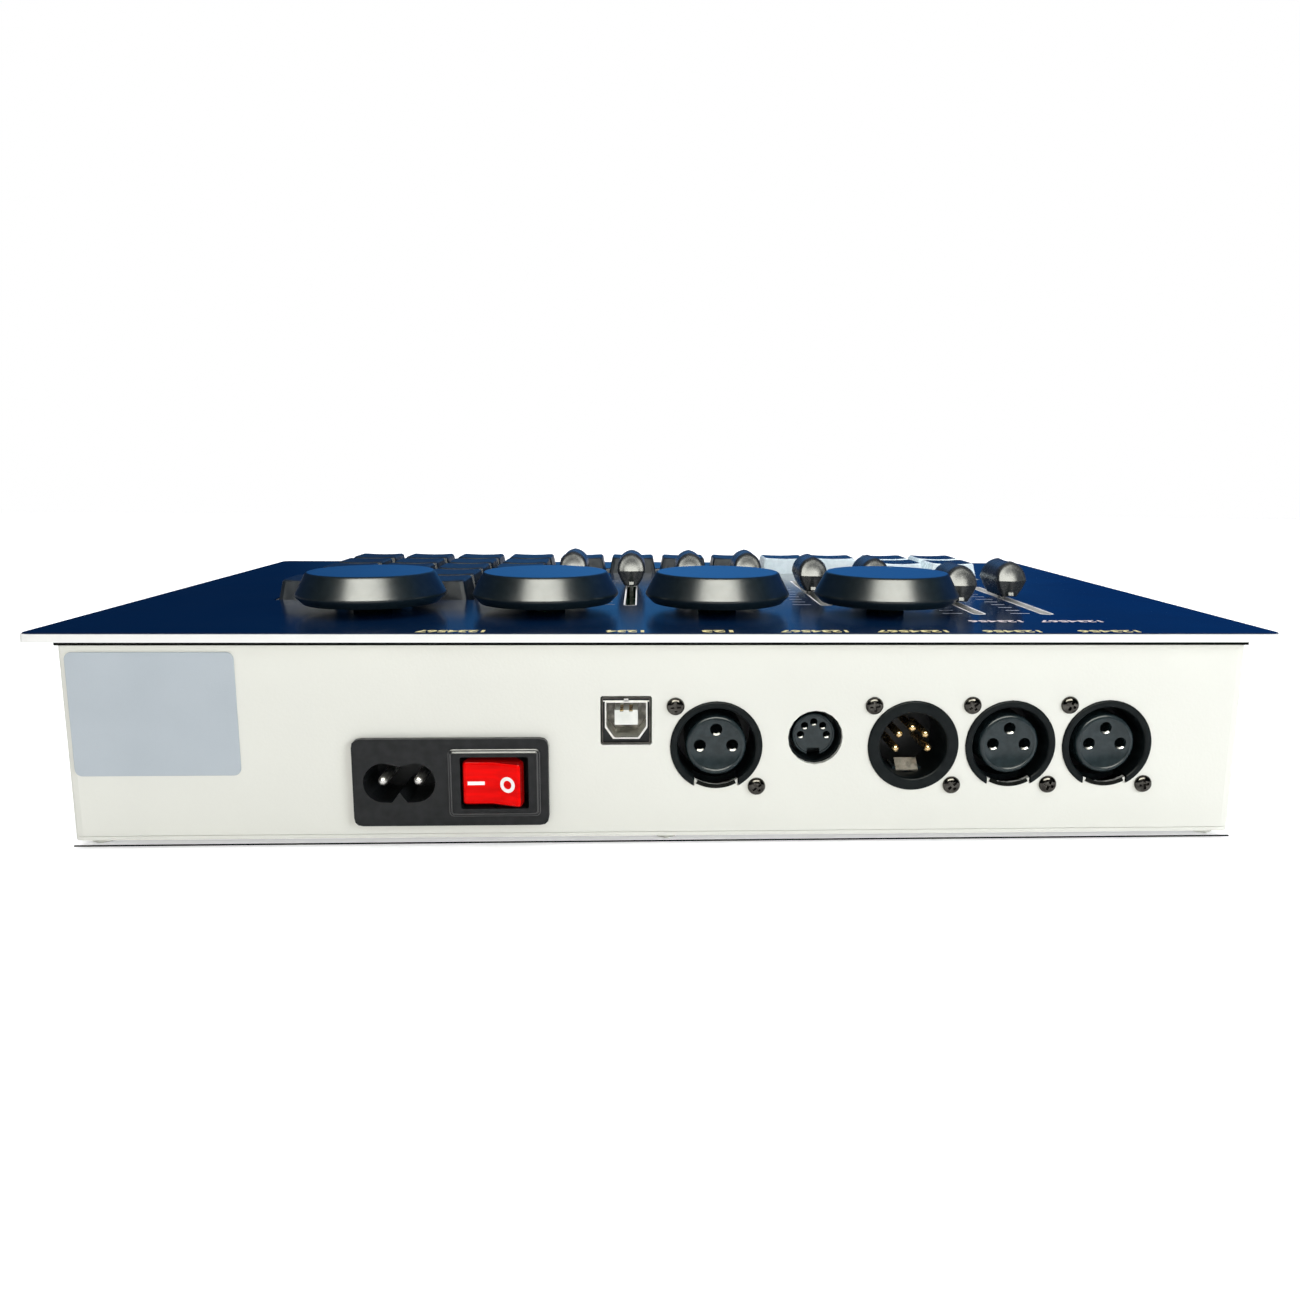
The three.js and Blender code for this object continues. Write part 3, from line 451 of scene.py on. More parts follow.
# Keys whose pale sides are a painted reflection of the bright room in front; their tops keep the dark colour.
SHEEN_PAINTED_KEY = key_plastic("key_plastic_painted_pale_sheen", (0.72, 0.84, 0.88), (0.80, 0.90, 0.93),
                       (0.005, 0.011, 0.024), 0.22)
BLACK = black_plastic("black_moulded_plastic", (0.006, 0.007, 0.0075), (0.012, 0.013, 0.014), 0.24)
BEZEL = black_plastic("bezel_edge_plastic", (0.010, 0.011, 0.011), (0.016, 0.017, 0.017), 0.9)
SHELL = black_plastic("socket_shell_plastic", (0.003, 0.005, 0.0055), (0.006, 0.0085, 0.009), 0.12)
SHADOW = seam_shadow()
CORE = socket_core_plastic()
STEEL = plated("nickel_plate", (0.55, 0.54, 0.52), (0.68, 0.67, 0.65), 0.18)
DARK_STEEL = plated("dark_nickel_plate", (0.045, 0.042, 0.038), (0.10, 0.095, 0.085), 0.1)
GOLD = plated("gold_plate", (0.72, 0.50, 0.24), (0.85, 0.64, 0.34), 0.18)
PIN = plated("satin_nickel_plate", (0.70, 0.69, 0.66), (0.82, 0.81, 0.78), 0.32)
# Dull, darker steel for the latch plate and the back of the USB mouth.
LATCH = plated("dull_dark_steel", (0.13, 0.125, 0.115), (0.30, 0.285, 0.26), 0.36)
RED = red_with_painted_glow()
INSERT = white_plastic()
LABEL = label_plate()
YELLOW_INK = ink("pale_yellow_ink", (0.72, 0.62, 0.26), (0.85, 0.76, 0.38))
PINK_INK = ink("pale_pink_ink", (0.72, 0.60, 0.58), (0.85, 0.74, 0.72))
LINE_INK = ink("pale_line_ink", (0.42, 0.44, 0.50), (0.58, 0.60, 0.66))
WHITE_INK = ink("white_mark_ink", (0.85, 0.84, 0.82), (0.95, 0.94, 0.92))
RUBBER = rubber()
BOARD = board_material()


# Finishes of the pieces that keep their own shape

# Keys in columns up to this one show their own dark sides; the keys further right get the painted pale
# reflection on their sides.
DARK_COLUMNS = 8
PLATE_EDGE = 0.3 * MM
INLET_EDGE = 0.35 * MM
KEY_EDGE = 0.45 * MM


def finish_node(name, material, edge=0.0, segments=2):
    node = nodes[name]
    node.data.materials.clear()
    node.data.materials.append(material)
    if edge:
        soften(node, edge, segments=segments)
    else:
        smooth(node, sharp=28)


def finish_nodes():
    finish_node("deck_plate", DECK_WHITE, PLATE_EDGE)
    finish_node("deck_film", FILM)
    finish_node("wall_frame", CASE_WHITE)
    finish_node("base_plate", CASE_WHITE)
    finish_node("control_board", BOARD)
    finish_node("io_board", BOARD)
    finish_node("power_inlet", BLACK, INLET_EDGE)
    finish_node("power_rocker", RED)
    for name in nodes:
        if name.startswith("rubber_foot"):
            finish_node(name, RUBBER)
        if name.startswith("keycap"):
            column = int(name.split("_c")[1])
            finish_node(name, DARK_KEY if column <= DARK_COLUMNS else SHEEN_PAINTED_KEY, KEY_EDGE, segments=3)


# Knobs, with heights above the deck

KNOB_EDGE = 0.9 * MM
KNOB_EDGE_STEPS = 6
KNOB_RIM_EDGE = 0.35 * MM
KNOB_TOP_SHARE = 0.865
KNOB_FOOT_SHARE = 0.92
KNOB_SHAFT = 3 * MM
KNOB_GAP = 2.4 * MM
KNOB_RIM_LOW = 4.2 * MM
KNOB_RIM_HIGH = 4.9 * MM
KNOB_SIDE_SHARES = (0.05, 0.94)


def arc(centre, radius, start, end, steps):
    """(radius, height) points of an arc in a profile, angles in degrees from outward."""
    points = []
    for i in range(steps + 1):
        angle = radians(start + (end - start) * i / steps)
        points.append((centre[0] + radius * cos(angle), centre[1] + radius * sin(angle)))
    return points


def knob_piece(name):
    low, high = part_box(name)
    x, y, _ = middle(low, high)
    radius = (high.x - low.x) / 2
    foot, top = low.z - DECK_Z, high.z - DECK_Z
    foot_radius, top_radius = KNOB_FOOT_SHARE * radius, KNOB_TOP_SHARE * radius
    slope = 90 - degrees(atan2(radius - top_radius, top - KNOB_RIM_HIGH))
    bend = arc((top_radius - KNOB_EDGE, top - KNOB_EDGE), KNOB_EDGE, 90 - slope, 90, KNOB_EDGE_STEPS)
    rim = Vector((radius, KNOB_RIM_HIGH))
    side = Vector(bend[0]) - rim
    profile = [(0, foot), (KNOB_SHAFT, foot), (KNOB_SHAFT, KNOB_GAP)]
    profile += [(foot_radius - KNOB_RIM_EDGE, KNOB_GAP), (foot_radius, KNOB_GAP + KNOB_RIM_EDGE)]
    profile += [(radius - KNOB_RIM_EDGE / 2, KNOB_RIM_LOW), (radius, KNOB_RIM_LOW + KNOB_RIM_EDGE)]
    profile += [(radius, KNOB_RIM_HIGH)] + [tuple(rim + side * share) for share in KNOB_SIDE_SHARES]
    profile += bend + [(top_radius - 2 * KNOB_EDGE, top), (0, top)]
    knob = revolve(name + "_shell", profile, Vector((x, y, DECK_Z)), KNOB, steps=96)
    dress(knob, name, "knob_grey", name)


COLLAR_RADIUS = 5.3 * MM
COLLAR_BORE = 4.35 * MM
COLLAR_INSIDE = 3.1 * MM
COLLAR_HEIGHT = 2.0 * MM
COLLAR_LIFT = 0.05 * MM
COLLAR_EDGE = 0.2 * MM
COLLAR_ROOF = 0.06 * MM


def bush_collar(name):
    """Dark nut round the bush under a knob."""
    x, y, _ = middle(*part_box(name))
    ceiling = COLLAR_HEIGHT - COLLAR_ROOF
    profile = [(COLLAR_INSIDE, COLLAR_HEIGHT), (COLLAR_RADIUS - COLLAR_EDGE, COLLAR_HEIGHT)]
    profile += [(COLLAR_RADIUS, COLLAR_HEIGHT - COLLAR_EDGE), (COLLAR_RADIUS, COLLAR_LIFT)]
    profile += [(COLLAR_BORE, COLLAR_LIFT), (COLLAR_BORE, ceiling), (COLLAR_INSIDE, ceiling)]
    profile += [(COLLAR_INSIDE, COLLAR_HEIGHT)]
    nut = revolve(name + "_collar", profile, Vector((x, y, DECK_Z)), SHADOW, steps=6)
    dress(nut, "case", "black_plastic")


# Fader caps, with heights above the deck

CAP_GAP = 1.0 * MM
CAP_CREASE = 6.0 * MM
CAP_SHOULDER = 10.9 * MM
CAP_FOOT_SHARE = 0.49
CAP_FLANK_OUT = 0.62
CAP_FLANK_UP = 0.5
CAP_LEAN = 2.4 * MM
CAP_UNDERCUT = 1.3 * MM
CAP_SADDLE = 0.3 * MM
CAP_EDGE = 1.0 * MM
CAP_BULGE = 0.7 * MM
CAP_FACE_SHARES = (0.25, 0.5, 0.75)
CAP_ARCH_STEPS = 12
CAP_EDGE_STEPS = 5
CAP_MIDDLE_DIP = 0.75
LIP_REACH = 0.8 * MM
LIP_TOP_REACH = 0.1 * MM
LIP_HALF_WIDTH = 0.72 * MM
LIP_LOW = CAP_GAP + 0.56 * MM
LIP_HIGH = CAP_GAP + 1.44 * MM
LEVER_WIDTH = 1.2 * MM
LEVER_LENGTH = 3.4 * MM


def cap_outline(half_width, top):
    """Front outline of a cap, in (x, height) pairs from left foot to right foot."""
    foot = half_width * CAP_FOOT_SHARE
    flank = (foot + (half_width - foot) * CAP_FLANK_OUT, CAP_GAP + (CAP_CREASE - CAP_GAP) * CAP_FLANK_UP)
    right = [(foot, CAP_GAP), flank]
    for i in range(CAP_ARCH_STEPS + 1):
        t = i / CAP_ARCH_STEPS
        height = CAP_CREASE * (1 - t) ** 2 + CAP_SHOULDER * 2 * t * (1 - t) + top * t * t
        right.append((half_width * (1 - t * t), height))
    return [(-px, pz) for px, pz in right] + list(reversed(right[:-1]))


def cap_end(height, top):
    """How far each end of a cap leans in at a height above the deck."""
    if height > CAP_CREASE:
        return CAP_LEAN * (height - CAP_CREASE) / (top - CAP_CREASE)
    return CAP_UNDERCUT * (CAP_CREASE - height) / (CAP_CREASE - CAP_GAP)


def cap_stations(half_width, half_length):
    """(distance behind the end, share of the outline, depth of the saddle) of the rings of half a cap."""
    face = 1 - CAP_EDGE / half_width
    stations = [(CAP_BULGE * share ** 2, face * share, 0.0) for share in CAP_FACE_SHARES]
    for i in range(CAP_EDGE_STEPS + 1):
        angle = i / CAP_EDGE_STEPS * pi / 2
        behind = CAP_BULGE + CAP_EDGE * (1 - cos(angle))
        stations.append((behind, 1 - CAP_EDGE * (1 - sin(angle)) / half_width, 0.0))
    stations.append((half_length / 2, 1.0, CAP_MIDDLE_DIP))
    return stations


def cap_shell(name, x, y, half_width, half_length, top):
    outline = cap_outline(half_width, top)
    rings = []
    for side in (-1, 1):
        rows = []
        for behind, scale, dip in cap_stations(half_width, half_length):
            row = []
            for px, pz in outline:
                height = CAP_CREASE + (pz - CAP_CREASE) * scale
                sunk = CAP_SADDLE * dip * max(0, height - CAP_CREASE) / (top - CAP_CREASE)
                along = half_length - behind - cap_end(height, top) * (1 - dip)
                row.append(Vector((x + px * scale, y + side * along, DECK_Z + height - sunk)))
            rows.append(row)
        rings += rows if side < 0 else reversed(rows)
    vertices = [point for ring in rings for point in ring]
    count = len(outline)
    faces = []
    for r in range(len(rings) - 1):
        faces += band(r * count, (r + 1) * count, count)
    for start in (0, len(vertices) - count):
        faces.append([start, start + 1, start + 2, start + count - 3, start + count - 2, start + count - 1])
        faces.append(list(range(start + 2, start + count - 2)))
    return smooth(mesh_object(name + "_body", vertices, faces, CAP), sharp=32)


def cap_lip(name, x, y, side, top):
    """Small sloping lip at the foot of each end of a cap."""
    section = [(LIP_HIGH, LIP_TOP_REACH), (LIP_LOW, LIP_REACH), (LIP_LOW, -LIP_REACH), (LIP_HIGH, -LIP_REACH)]
    vertices = []
    for px in (-LIP_HALF_WIDTH, LIP_HALF_WIDTH):
        for height, out in section:
            along = out - CAP_BULGE - cap_end(height, top)
            vertices.append(Vector((x + px, y + side * along, DECK_Z + height)))
    faces = [[0, 1, 2, 3], [4, 5, 6, 7], *band(0, 4, 4)]
    return mesh_object(name + "_lip", vertices, faces, CAP)


def cap_piece(name):
    low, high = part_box(name)
    x, y, _ = middle(low, high)
    top = high.z - DECK_Z
    half_length = (high.y - low.y) / 2
    shell = cap_shell(name, x, y, (high.x - low.x) / 2, half_length, top)
    lips = [cap_lip(name, x, y + side * half_length, side, top) for side in (-1, 1)]
    whole = join(name + "_shell", [shell, *lips])
    height = DECK_Z + top / 2 - low.z
    lever = box_mesh(name + "_lever", LEVER_WIDTH, LEVER_LENGTH, height, x, y, low.z, STEEL)
    dress(lever, name, "bright_metal")
    dress(whole, name, "cap_plastic", name)


# Panel sockets, with depths behind the panel's face

XLR_RING = 11.4 * MM
XLR_FLANGE = 11.65 * MM
XLR_BORE = 9.8 * MM
PANEL_CLEAR = 0.03 * MM
XLR_CORE = 7.7 * MM
XLR_CORE_BACK = 0.9 * MM
XLR_FLOOR = 14.5 * MM
XLR_BODY = 24.2 * MM
XLR_BODY_HEIGHT = 25.6 * MM
XLR_PROUD = 0.5 * MM
BODY_CORNER = 2 * MM
XLR_LIP = 0.7 * MM
XLR_HOLE = 1.55 * MM
XLR_HOLE_CIRCLE = 4.1 * MM
XLR_LATCH_WIDTH = 11.5 * MM
XLR_LATCH_DROP = 8.0 * MM
XLR_LATCH_DEPTH = 7 * MM
XLR_LIP_OUTSIDE = 10.8 * MM
XLR_LIP_HALF = 28
XLR_LIP_PROUD = 0.25 * MM
XLR_HOLE_DEPTH = 11 * MM
CORE_EDGE = 0.9 * MM
CORE_DISH = 0.25 * MM
CORE_DISH_WALL = (0.6 * MM, 0.2 * MM)
CONTACT_OUTSIDE = 0.98
CONTACT_INSIDE = 0.76
CONTACT_FRONT = (0.12, 0.3)
CONTACT_BACK = 0.7
CONTACT_START = -118
CONTACT_END = -48
MALE_BORE = 8.5 * MM
MALE_PIN = 1.0 * MM
MALE_CIRCLE = 4.3 * MM
MALE_PIN_BACK = 0.7 * MM
MALE_PIN_STEP = 52
RIB_STEP = 24
RIB_WIDTH = 0.9 * MM
RIB_LENGTH = 7 * MM
RIB_HEIGHT = 0.7 * MM
RIB_MIDDLE = 9 * MM
SCREW_X = 10.3 * MM
SCREW_Z = 10.4 * MM
SCREW_HEAD = 2.25 * MM
SCREW_HEIGHT = 1.1 * MM
SCREW_DOME = ((0.45, 0.97), (0.75, 0.8), (0.93, 0.5), (1, 0.2), (1, 0))
SCREW_SHANK = 0.55 * SCREW_HEAD
SCREW_SHANK_DEPTH = 1.8 * MM
SCREW_SLOT = 0.7 * MM
SCREW_SLOT_LENGTH = 2.6 * MM
SCREW_SLOT_FLOOR = 0.3 * SCREW_HEIGHT
SCREW_TURN = 20
SCREW_TURN_STEP = 31
SCREW_TURN_SIDE = 17
OVERRUN = 1 * MM


def panel_place(name):
    """Point on the panel's face in front of a node's middle."""
    x, _, z = middle(*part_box(name))
    return Vector((x, PANEL_Y, z))


def bore(place, radius, depth, steps):
    """Cutter for a round hole from the panel's face inwards."""
    return revolve("hole", [(0, 0), (radius, 0), (radius, depth), (0, depth)], place, CORE, "Y", steps)


def socket_body(name, place):
    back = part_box(name)[1].y
    outline = rounded(XLR_BODY, XLR_BODY_HEIGHT, BODY_CORNER, place.x, place.z)
    return panel_block(name + "_body", outline, PANEL_Y + XLR_FLOOR, back, BLACK)


def socket_ring(name, place, inside):
    front = -XLR_PROUD
    edge = XLR_PROUD - PANEL_CLEAR
    profile = [(inside, XLR_FLOOR), (inside, front + XLR_LIP)]
    profile += [(inside + XLR_LIP * (1 - cos(a)), front + XLR_LIP * (1 - sin(a))) for a in CLOSE_BEND]
    profile += [(XLR_FLANGE - edge * (1 - sin(a)), front + edge * (1 - cos(a))) for a in WIDE_BEND]
    profile += [(XLR_RING, -PANEL_CLEAR), (XLR_RING, XLR_FLOOR), (inside, XLR_FLOOR)]
    return revolve(name + "_ring", profile, place, SHELL, "Y", steps=80)


def contact(place, hole, front):
    """Sloping edge of the spring contact that shows low in each hole."""
    outside, inside, back = hole * CONTACT_OUTSIDE, hole * CONTACT_INSIDE, front + hole * CONTACT_BACK
    near, far = [front + hole * share for share in CONTACT_FRONT]
    profile = [(outside, near), (inside, far), (inside, back), (outside, back)]
    return sector("contact", profile, place, PIN, CONTACT_START, CONTACT_END)


def female_core(name, place):
    front = XLR_CORE_BACK
    rim = XLR_CORE - CORE_EDGE
    dish, lip = [rim - inset for inset in CORE_DISH_WALL]
    profile = [(0, front + CORE_DISH), (dish, front + CORE_DISH), (lip, front)]
    profile += [(rim + CORE_EDGE * sin(a), front + CORE_EDGE * (1 - cos(a))) for a in CORE_BEND]
    profile += [(XLR_CORE, XLR_FLOOR + OVERRUN), (0, XLR_FLOOR + OVERRUN)]
    core = revolve(name + "_core", profile, place, CORE, "Y", steps=72)
    cutters = []
    contacts = []
    for turn in (0, 90, 180):
        at = place + around(turn, XLR_HOLE_CIRCLE)
        cutters.append(bore(at, XLR_HOLE, XLR_HOLE_DEPTH, SMALL_STEPS))
        contacts.append(contact(at, XLR_HOLE, front))
    return [smooth(cut(core, cutters)), *contacts]


def latch_notch(place):
    y = PANEL_Y - XLR_PROUD + (XLR_LATCH_DEPTH - OVERRUN) / 2
    height = XLR_RING + OVERRUN - XLR_LATCH_DROP
    return box_mesh("notch", XLR_LATCH_WIDTH, XLR_LATCH_DEPTH + OVERRUN, height, place.x, y,
                    place.z - XLR_RING - OVERRUN, BLACK)


def latch_lip(place):
    """Black lip of the latch recess, over the tab of the panel."""
    profile = [(XLR_BORE, -XLR_LIP_PROUD), (XLR_LIP_OUTSIDE, -XLR_LIP_PROUD)]
    profile += [(XLR_LIP_OUTSIDE, -PANEL_CLEAR), (XLR_BORE, -PANEL_CLEAR)]
    return sector("latch_lip", profile, place, SHADOW, -90 - XLR_LIP_HALF, -90 + XLR_LIP_HALF, steps=16)


def female_socket(name, place):
    ring = smooth(cut(socket_ring(name, place, XLR_BORE), [latch_notch(place)]))
    parts = [ring, latch_lip(place), *female_core(name, place), socket_body(name, place)]
    dress(join(name + "_shell", parts), "case", "black_plastic", name)


def pin_piece(place, radius, tip, root, material):
    profile = [(0, tip)] + [(radius * sin(a), tip + radius * (1 - cos(a))) for a in CLOSE_BEND]
    profile += [(radius, root), (0, root)]
    return revolve("pin", profile, place, material, "Y", SMALL_STEPS)


def latch_plate(place):
    """The steel latch in the floor of the male socket's bore, sloping down to the front."""
    width, thick = 5.8 * MM, 0.3 * MM
    front, back = (5 * MM, -8.1 * MM), (7.6 * MM, -5.6 * MM)
    vertices = []
    for depth, drop in (front, back):
        for lift in (0, thick):
            for side in (-1, 1):
                vertices.append(place + Vector((side * width / 2, depth, drop + lift)))
    faces = [[0, 1, 3, 2], [4, 6, 7, 5], [0, 4, 5, 1], [2, 3, 7, 6], [0, 2, 6, 4], [1, 5, 7, 3]]
    return mesh_object("latch_plate", vertices, faces, LATCH)


def male_socket(name, place):
    ring = socket_ring(name, place, MALE_BORE)
    pins = []
    for step in range(-2, 3):
        at = place + around(90 + step * MALE_PIN_STEP, MALE_CIRCLE)
        pins.append(pin_piece(at, MALE_PIN, MALE_PIN_BACK, XLR_FLOOR, GOLD))
    ribs = []
    for side in (-1, 0, 1):
        at = place + around(-90 + side * RIB_STEP, MALE_BORE - RIB_HEIGHT / 2)
        ribs.append(box_mesh("rib", RIB_WIDTH, RIB_LENGTH, RIB_HEIGHT, at.x, PANEL_Y + RIB_MIDDLE,
                             at.z - RIB_HEIGHT / 2, CORE))
    parts = [ring, *pins, *ribs, latch_plate(place), socket_body(name, place)]
    dress(join(name + "_shell", parts), "case", "black_plastic", name)


def cross_screw(name, place, turn):
    profile = [(0, -SCREW_HEIGHT)]
    profile += [(SCREW_HEAD * out, -SCREW_HEIGHT * up) for out, up in SCREW_DOME]
    profile += [(SCREW_SHANK, 0), (SCREW_SHANK, SCREW_SHANK_DEPTH), (0, SCREW_SHANK_DEPTH)]
    screw = revolve(name, profile, place, DARK_STEEL, "Y", steps=40)
    long, wide = SCREW_SLOT_LENGTH / 2, SCREW_SLOT / 2
    outline = [(-long, -wide), (long, -wide), (long, wide), (-long, wide)]
    cutters = []
    for extra in (0, 90):
        angle = radians(turn + extra)
        turned = [(place.x + px * cos(angle) - pz * sin(angle), place.z + px * sin(angle) + pz * cos(angle))
                  for px, pz in outline]
        cutters.append(panel_block("slot", turned, place.y - SCREW_HEIGHT - OVERRUN,
                                   place.y - SCREW_SLOT_FLOOR, DARK_STEEL))
    return smooth(cut(screw, cutters), sharp=30)


def round_sockets():
    for number, name in enumerate(sorted(name for name in nodes if name.startswith("xlr_"))):
        place = panel_place(name)
        if "female" in name:
            female_socket(name, place)
        else:
            male_socket(name, place)
        for side in (-1, 1):
            at = place + Vector((side * SCREW_X, 0, -side * SCREW_Z))
            turn = SCREW_TURN + SCREW_TURN_STEP * number + SCREW_TURN_SIDE * side
            screw = cross_screw(f"{name}_screw_{'left' if side < 0 else 'right'}", at, turn)
            dress(screw, "case", "bright_metal")


DIN_RADIUS = 6.95 * MM
DIN_INSERT = 5.5 * MM
DIN_BACK = 3.1 * MM
DIN_DEPTH = 9 * MM
DIN_CIRCLE = 3.3 * MM
DIN_HOLE = 0.95 * MM
DIN_KEY = 3.3 * MM
DIN_KEY_LENGTH = 8 * MM
DIN_KEY_HEIGHT = 3 * MM
DIN_RIM = 0.35 * MM
DIN_RIM_FLAT = 0.56 * MM
DIN_CONTACT_PROUD = 0.1 * MM
DIN_LINER_GAP = 0.8 * MM
DIN_LINER_FLARE = 0.95 * MM
DIN_LINER_FRONT = 1.7 * MM
DIN_LINER_NECK = 2.0 * MM


def din_insert(place):
    """Insert with five holes, their contacts and the key slot."""
    profile = [(0, DIN_BACK), (DIN_INSERT - 2 * DIN_RIM, DIN_BACK)]
    profile += [(DIN_INSERT - DIN_RIM_FLAT, DIN_BACK - DIN_RIM / 2)]
    profile += [(DIN_INSERT - DIN_RIM * (1 - sin(a)), DIN_BACK + DIN_RIM * (0.5 - cos(a))) for a in WIDE_BEND]
    profile += [(DIN_INSERT, DIN_BACK + DIN_DEPTH), (0, DIN_BACK + DIN_DEPTH)]
    insert = revolve("din_insert", profile, place, CORE, "Y", steps=56)
    cutters = []
    contacts = []
    for turn in (0, 45, 90, 135, 180):
        at = place + around(turn, DIN_CIRCLE)
        cutters.append(bore(at, DIN_HOLE, DIN_DEPTH, 16))
        contacts.append(contact(at, DIN_HOLE, DIN_BACK - DIN_CONTACT_PROUD))
    key_z = place.z - DIN_INSERT - OVERRUN
    cutters.append(box_mesh("key", DIN_KEY, DIN_KEY_LENGTH, DIN_KEY_HEIGHT, place.x,
                            PANEL_Y + DIN_KEY_LENGTH / 2, key_z, CORE))
    return [smooth(cut(insert, cutters)), *contacts]


def din_liner(place):
    """Dark sleeve between the insert and the panel's hole."""
    inside, mouth = DIN_INSERT + DIN_LINER_GAP, DIN_INSERT + DIN_LINER_FLARE
    profile = [(DIN_RADIUS, DIN_LINER_FRONT), (mouth, DIN_LINER_FRONT), (inside, DIN_LINER_NECK)]
    profile += [(inside, DIN_DEPTH), (DIN_RADIUS, DIN_DEPTH), (DIN_RADIUS, DIN_LINER_FRONT)]
    return revolve("din_liner", profile, place, SHELL, "Y", steps=56)


def din_socket():
    low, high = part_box("din_socket")
    place = panel_place("din_socket")
    outline = rounded(high.x - low.x, high.z - low.z, BODY_CORNER, place.x, place.z)
    body = panel_block("din_body", outline, PANEL_Y + DIN_DEPTH, high.y, BLACK)
    whole = join("din_socket_shell", [*din_insert(place), din_liner(place), body])
    dress(whole, "case", "black_plastic", "din_socket")


USB_MOUTH = 9.9 * MM
USB_MOUTH_HEIGHT = 8.9 * MM
USB_CHAMFER_WIDTH = 2 * MM
USB_CHAMFER_HEIGHT = 2.9 * MM
USB_SHEET = 0.35 * MM
USB_FRAME_BACK = 0.7 * MM
USB_CORNER = 0.4 * MM
USB_DEPTH = 9.5 * MM
USB_TONGUE = 5.8 * MM
USB_TONGUE_HEIGHT = 3.8 * MM
USB_TONGUE_RISE = 0.5 * MM
USB_TONGUE_BACK = 1.2 * MM
USB_CONTACT = 0.9 * MM
USB_CONTACT_X = 1.16 * MM
USB_LINE = 0.3 * MM
USB_LINE_DROP = 1.25 * MM
USB_TAB = 1.1 * MM
USB_TAB_HEIGHT = 0.8 * MM


def usb_outline(x, z, grow):
    half_x, half_z = USB_MOUTH / 2 + grow, USB_MOUTH_HEIGHT / 2 + grow
    return [(x - half_x, z + half_z), (x - half_x, z - half_z + USB_CHAMFER_HEIGHT),
            (x - half_x + USB_CHAMFER_WIDTH, z - half_z), (x + half_x - USB_CHAMFER_WIDTH, z - half_z),
            (x + half_x, z - half_z + USB_CHAMFER_HEIGHT), (x + half_x, z + half_z)]


def usb_square(low, high, inset, corner):
    """Outline of the can, or of what fits in it."""
    x, _, z = middle(low, high)
    return rounded(high.x - low.x - 2 * inset, high.z - low.z - 2 * inset, corner, x, z, 2)


def usb_shell(low, high):
    """Square sheet-metal can, open in front."""
    can = panel_block("usb_can", usb_square(low, high, 0, USB_CORNER), low.y, high.y, DARK_STEEL)
    inside = usb_square(low, high, USB_SHEET, USB_CORNER / 2)
    return cut(can, [panel_block("inside", inside, low.y - OVERRUN, low.y + USB_DEPTH, STEEL)])


def usb_frame(low, high):
    """Frame set back in the can, with the mouth's raised rim, a fold line and a small tab."""
    x, _, z = middle(low, high)
    front = low.y + USB_FRAME_BACK
    back = front + USB_SHEET
    mouth = usb_outline(x, z, 0)
    plate = panel_block("usb_frame", usb_square(low, high, USB_SHEET, USB_CORNER / 2), front, back, BLACK)
    plate = cut(plate, [panel_block("mouth", mouth, front - OVERRUN, back + OVERRUN, STEEL)])
    floor = low.y + USB_DEPTH
    rim = panel_block("usb_rim", usb_outline(x, z, USB_SHEET), low.y + USB_FRAME_BACK / 2, floor, PIN)
    rim = cut(rim, [panel_block("mouth", mouth, low.y - OVERRUN, floor + OVERRUN, STEEL)])
    width = high.x - low.x - 2 * USB_SHEET
    line = box_mesh("usb_line", width, USB_SHEET, USB_LINE, x, front, high.z - USB_LINE_DROP, PIN)
    tab_z = high.z - USB_SHEET - USB_TAB_HEIGHT
    tab = box_mesh("usb_tab", USB_TAB, USB_SHEET, USB_TAB_HEIGHT, x, front, tab_z, PIN)
    return [plate, rim, line, tab]


def usb_inside(low, high):
    """Tongue with its two contacts, and the back of the mouth."""
    x, _, z = middle(low, high)
    floor = low.y + USB_DEPTH - USB_SHEET
    back = panel_block("usb_back", usb_outline(x, z, USB_SHEET / 2), floor, floor + USB_SHEET, LATCH)
    front = low.y + USB_TONGUE_BACK
    length = floor - front
    y = front + length / 2
    tongue_z = z + USB_TONGUE_RISE - USB_TONGUE_HEIGHT / 2
    tongue = box_mesh("usb_tongue", USB_TONGUE, length, USB_TONGUE_HEIGHT, x, y, tongue_z, INSERT)
    contact_z = tongue_z + USB_TONGUE_HEIGHT - USB_CONTACT / 2
    notches = []
    contacts = []
    for side in (-1, 1):
        at_x = x + side * USB_CONTACT_X
        notches.append(box_mesh("notch", USB_CONTACT, length, USB_CONTACT, at_x, y - OVERRUN,
                                contact_z, INSERT))
        contacts.append(box_mesh("contact", USB_CONTACT, length - OVERRUN, USB_SHEET / 2, at_x,
                                 y + OVERRUN / 2, contact_z, GOLD))
    return [back, cut(tongue, notches), *contacts]


def usb_socket():
    low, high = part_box("usb_socket")
    whole = join("usb_socket_shell", [usb_shell(low, high), *usb_frame(low, high), *usb_inside(low, high)])
    dress(whole, "case", "bright_metal", "usb_socket")


INLET_OFFSET = 12.7 * MM
INLET_PROUD = 1.7 * MM
INLET_PIN_X = 4.4 * MM
INLET_PIN = 1.24 * MM
INLET_PIN_BACK = 1.0 * MM
INLET_PIN_ROOT = 14 * MM


def inlet_pins():
    x, _, z = middle(*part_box("power_inlet"))
    for side in (-1, 1):
        place = Vector((x - INLET_OFFSET + side * INLET_PIN_X, PANEL_Y - INLET_PROUD, z))
        pin = pin_piece(place, INLET_PIN, INLET_PIN_BACK, INLET_PIN_ROOT, PIN)
        pin.name = f"inlet_pin_{'left' if side < 0 else 'right'}"
        dress(pin, "case", "bright_metal")


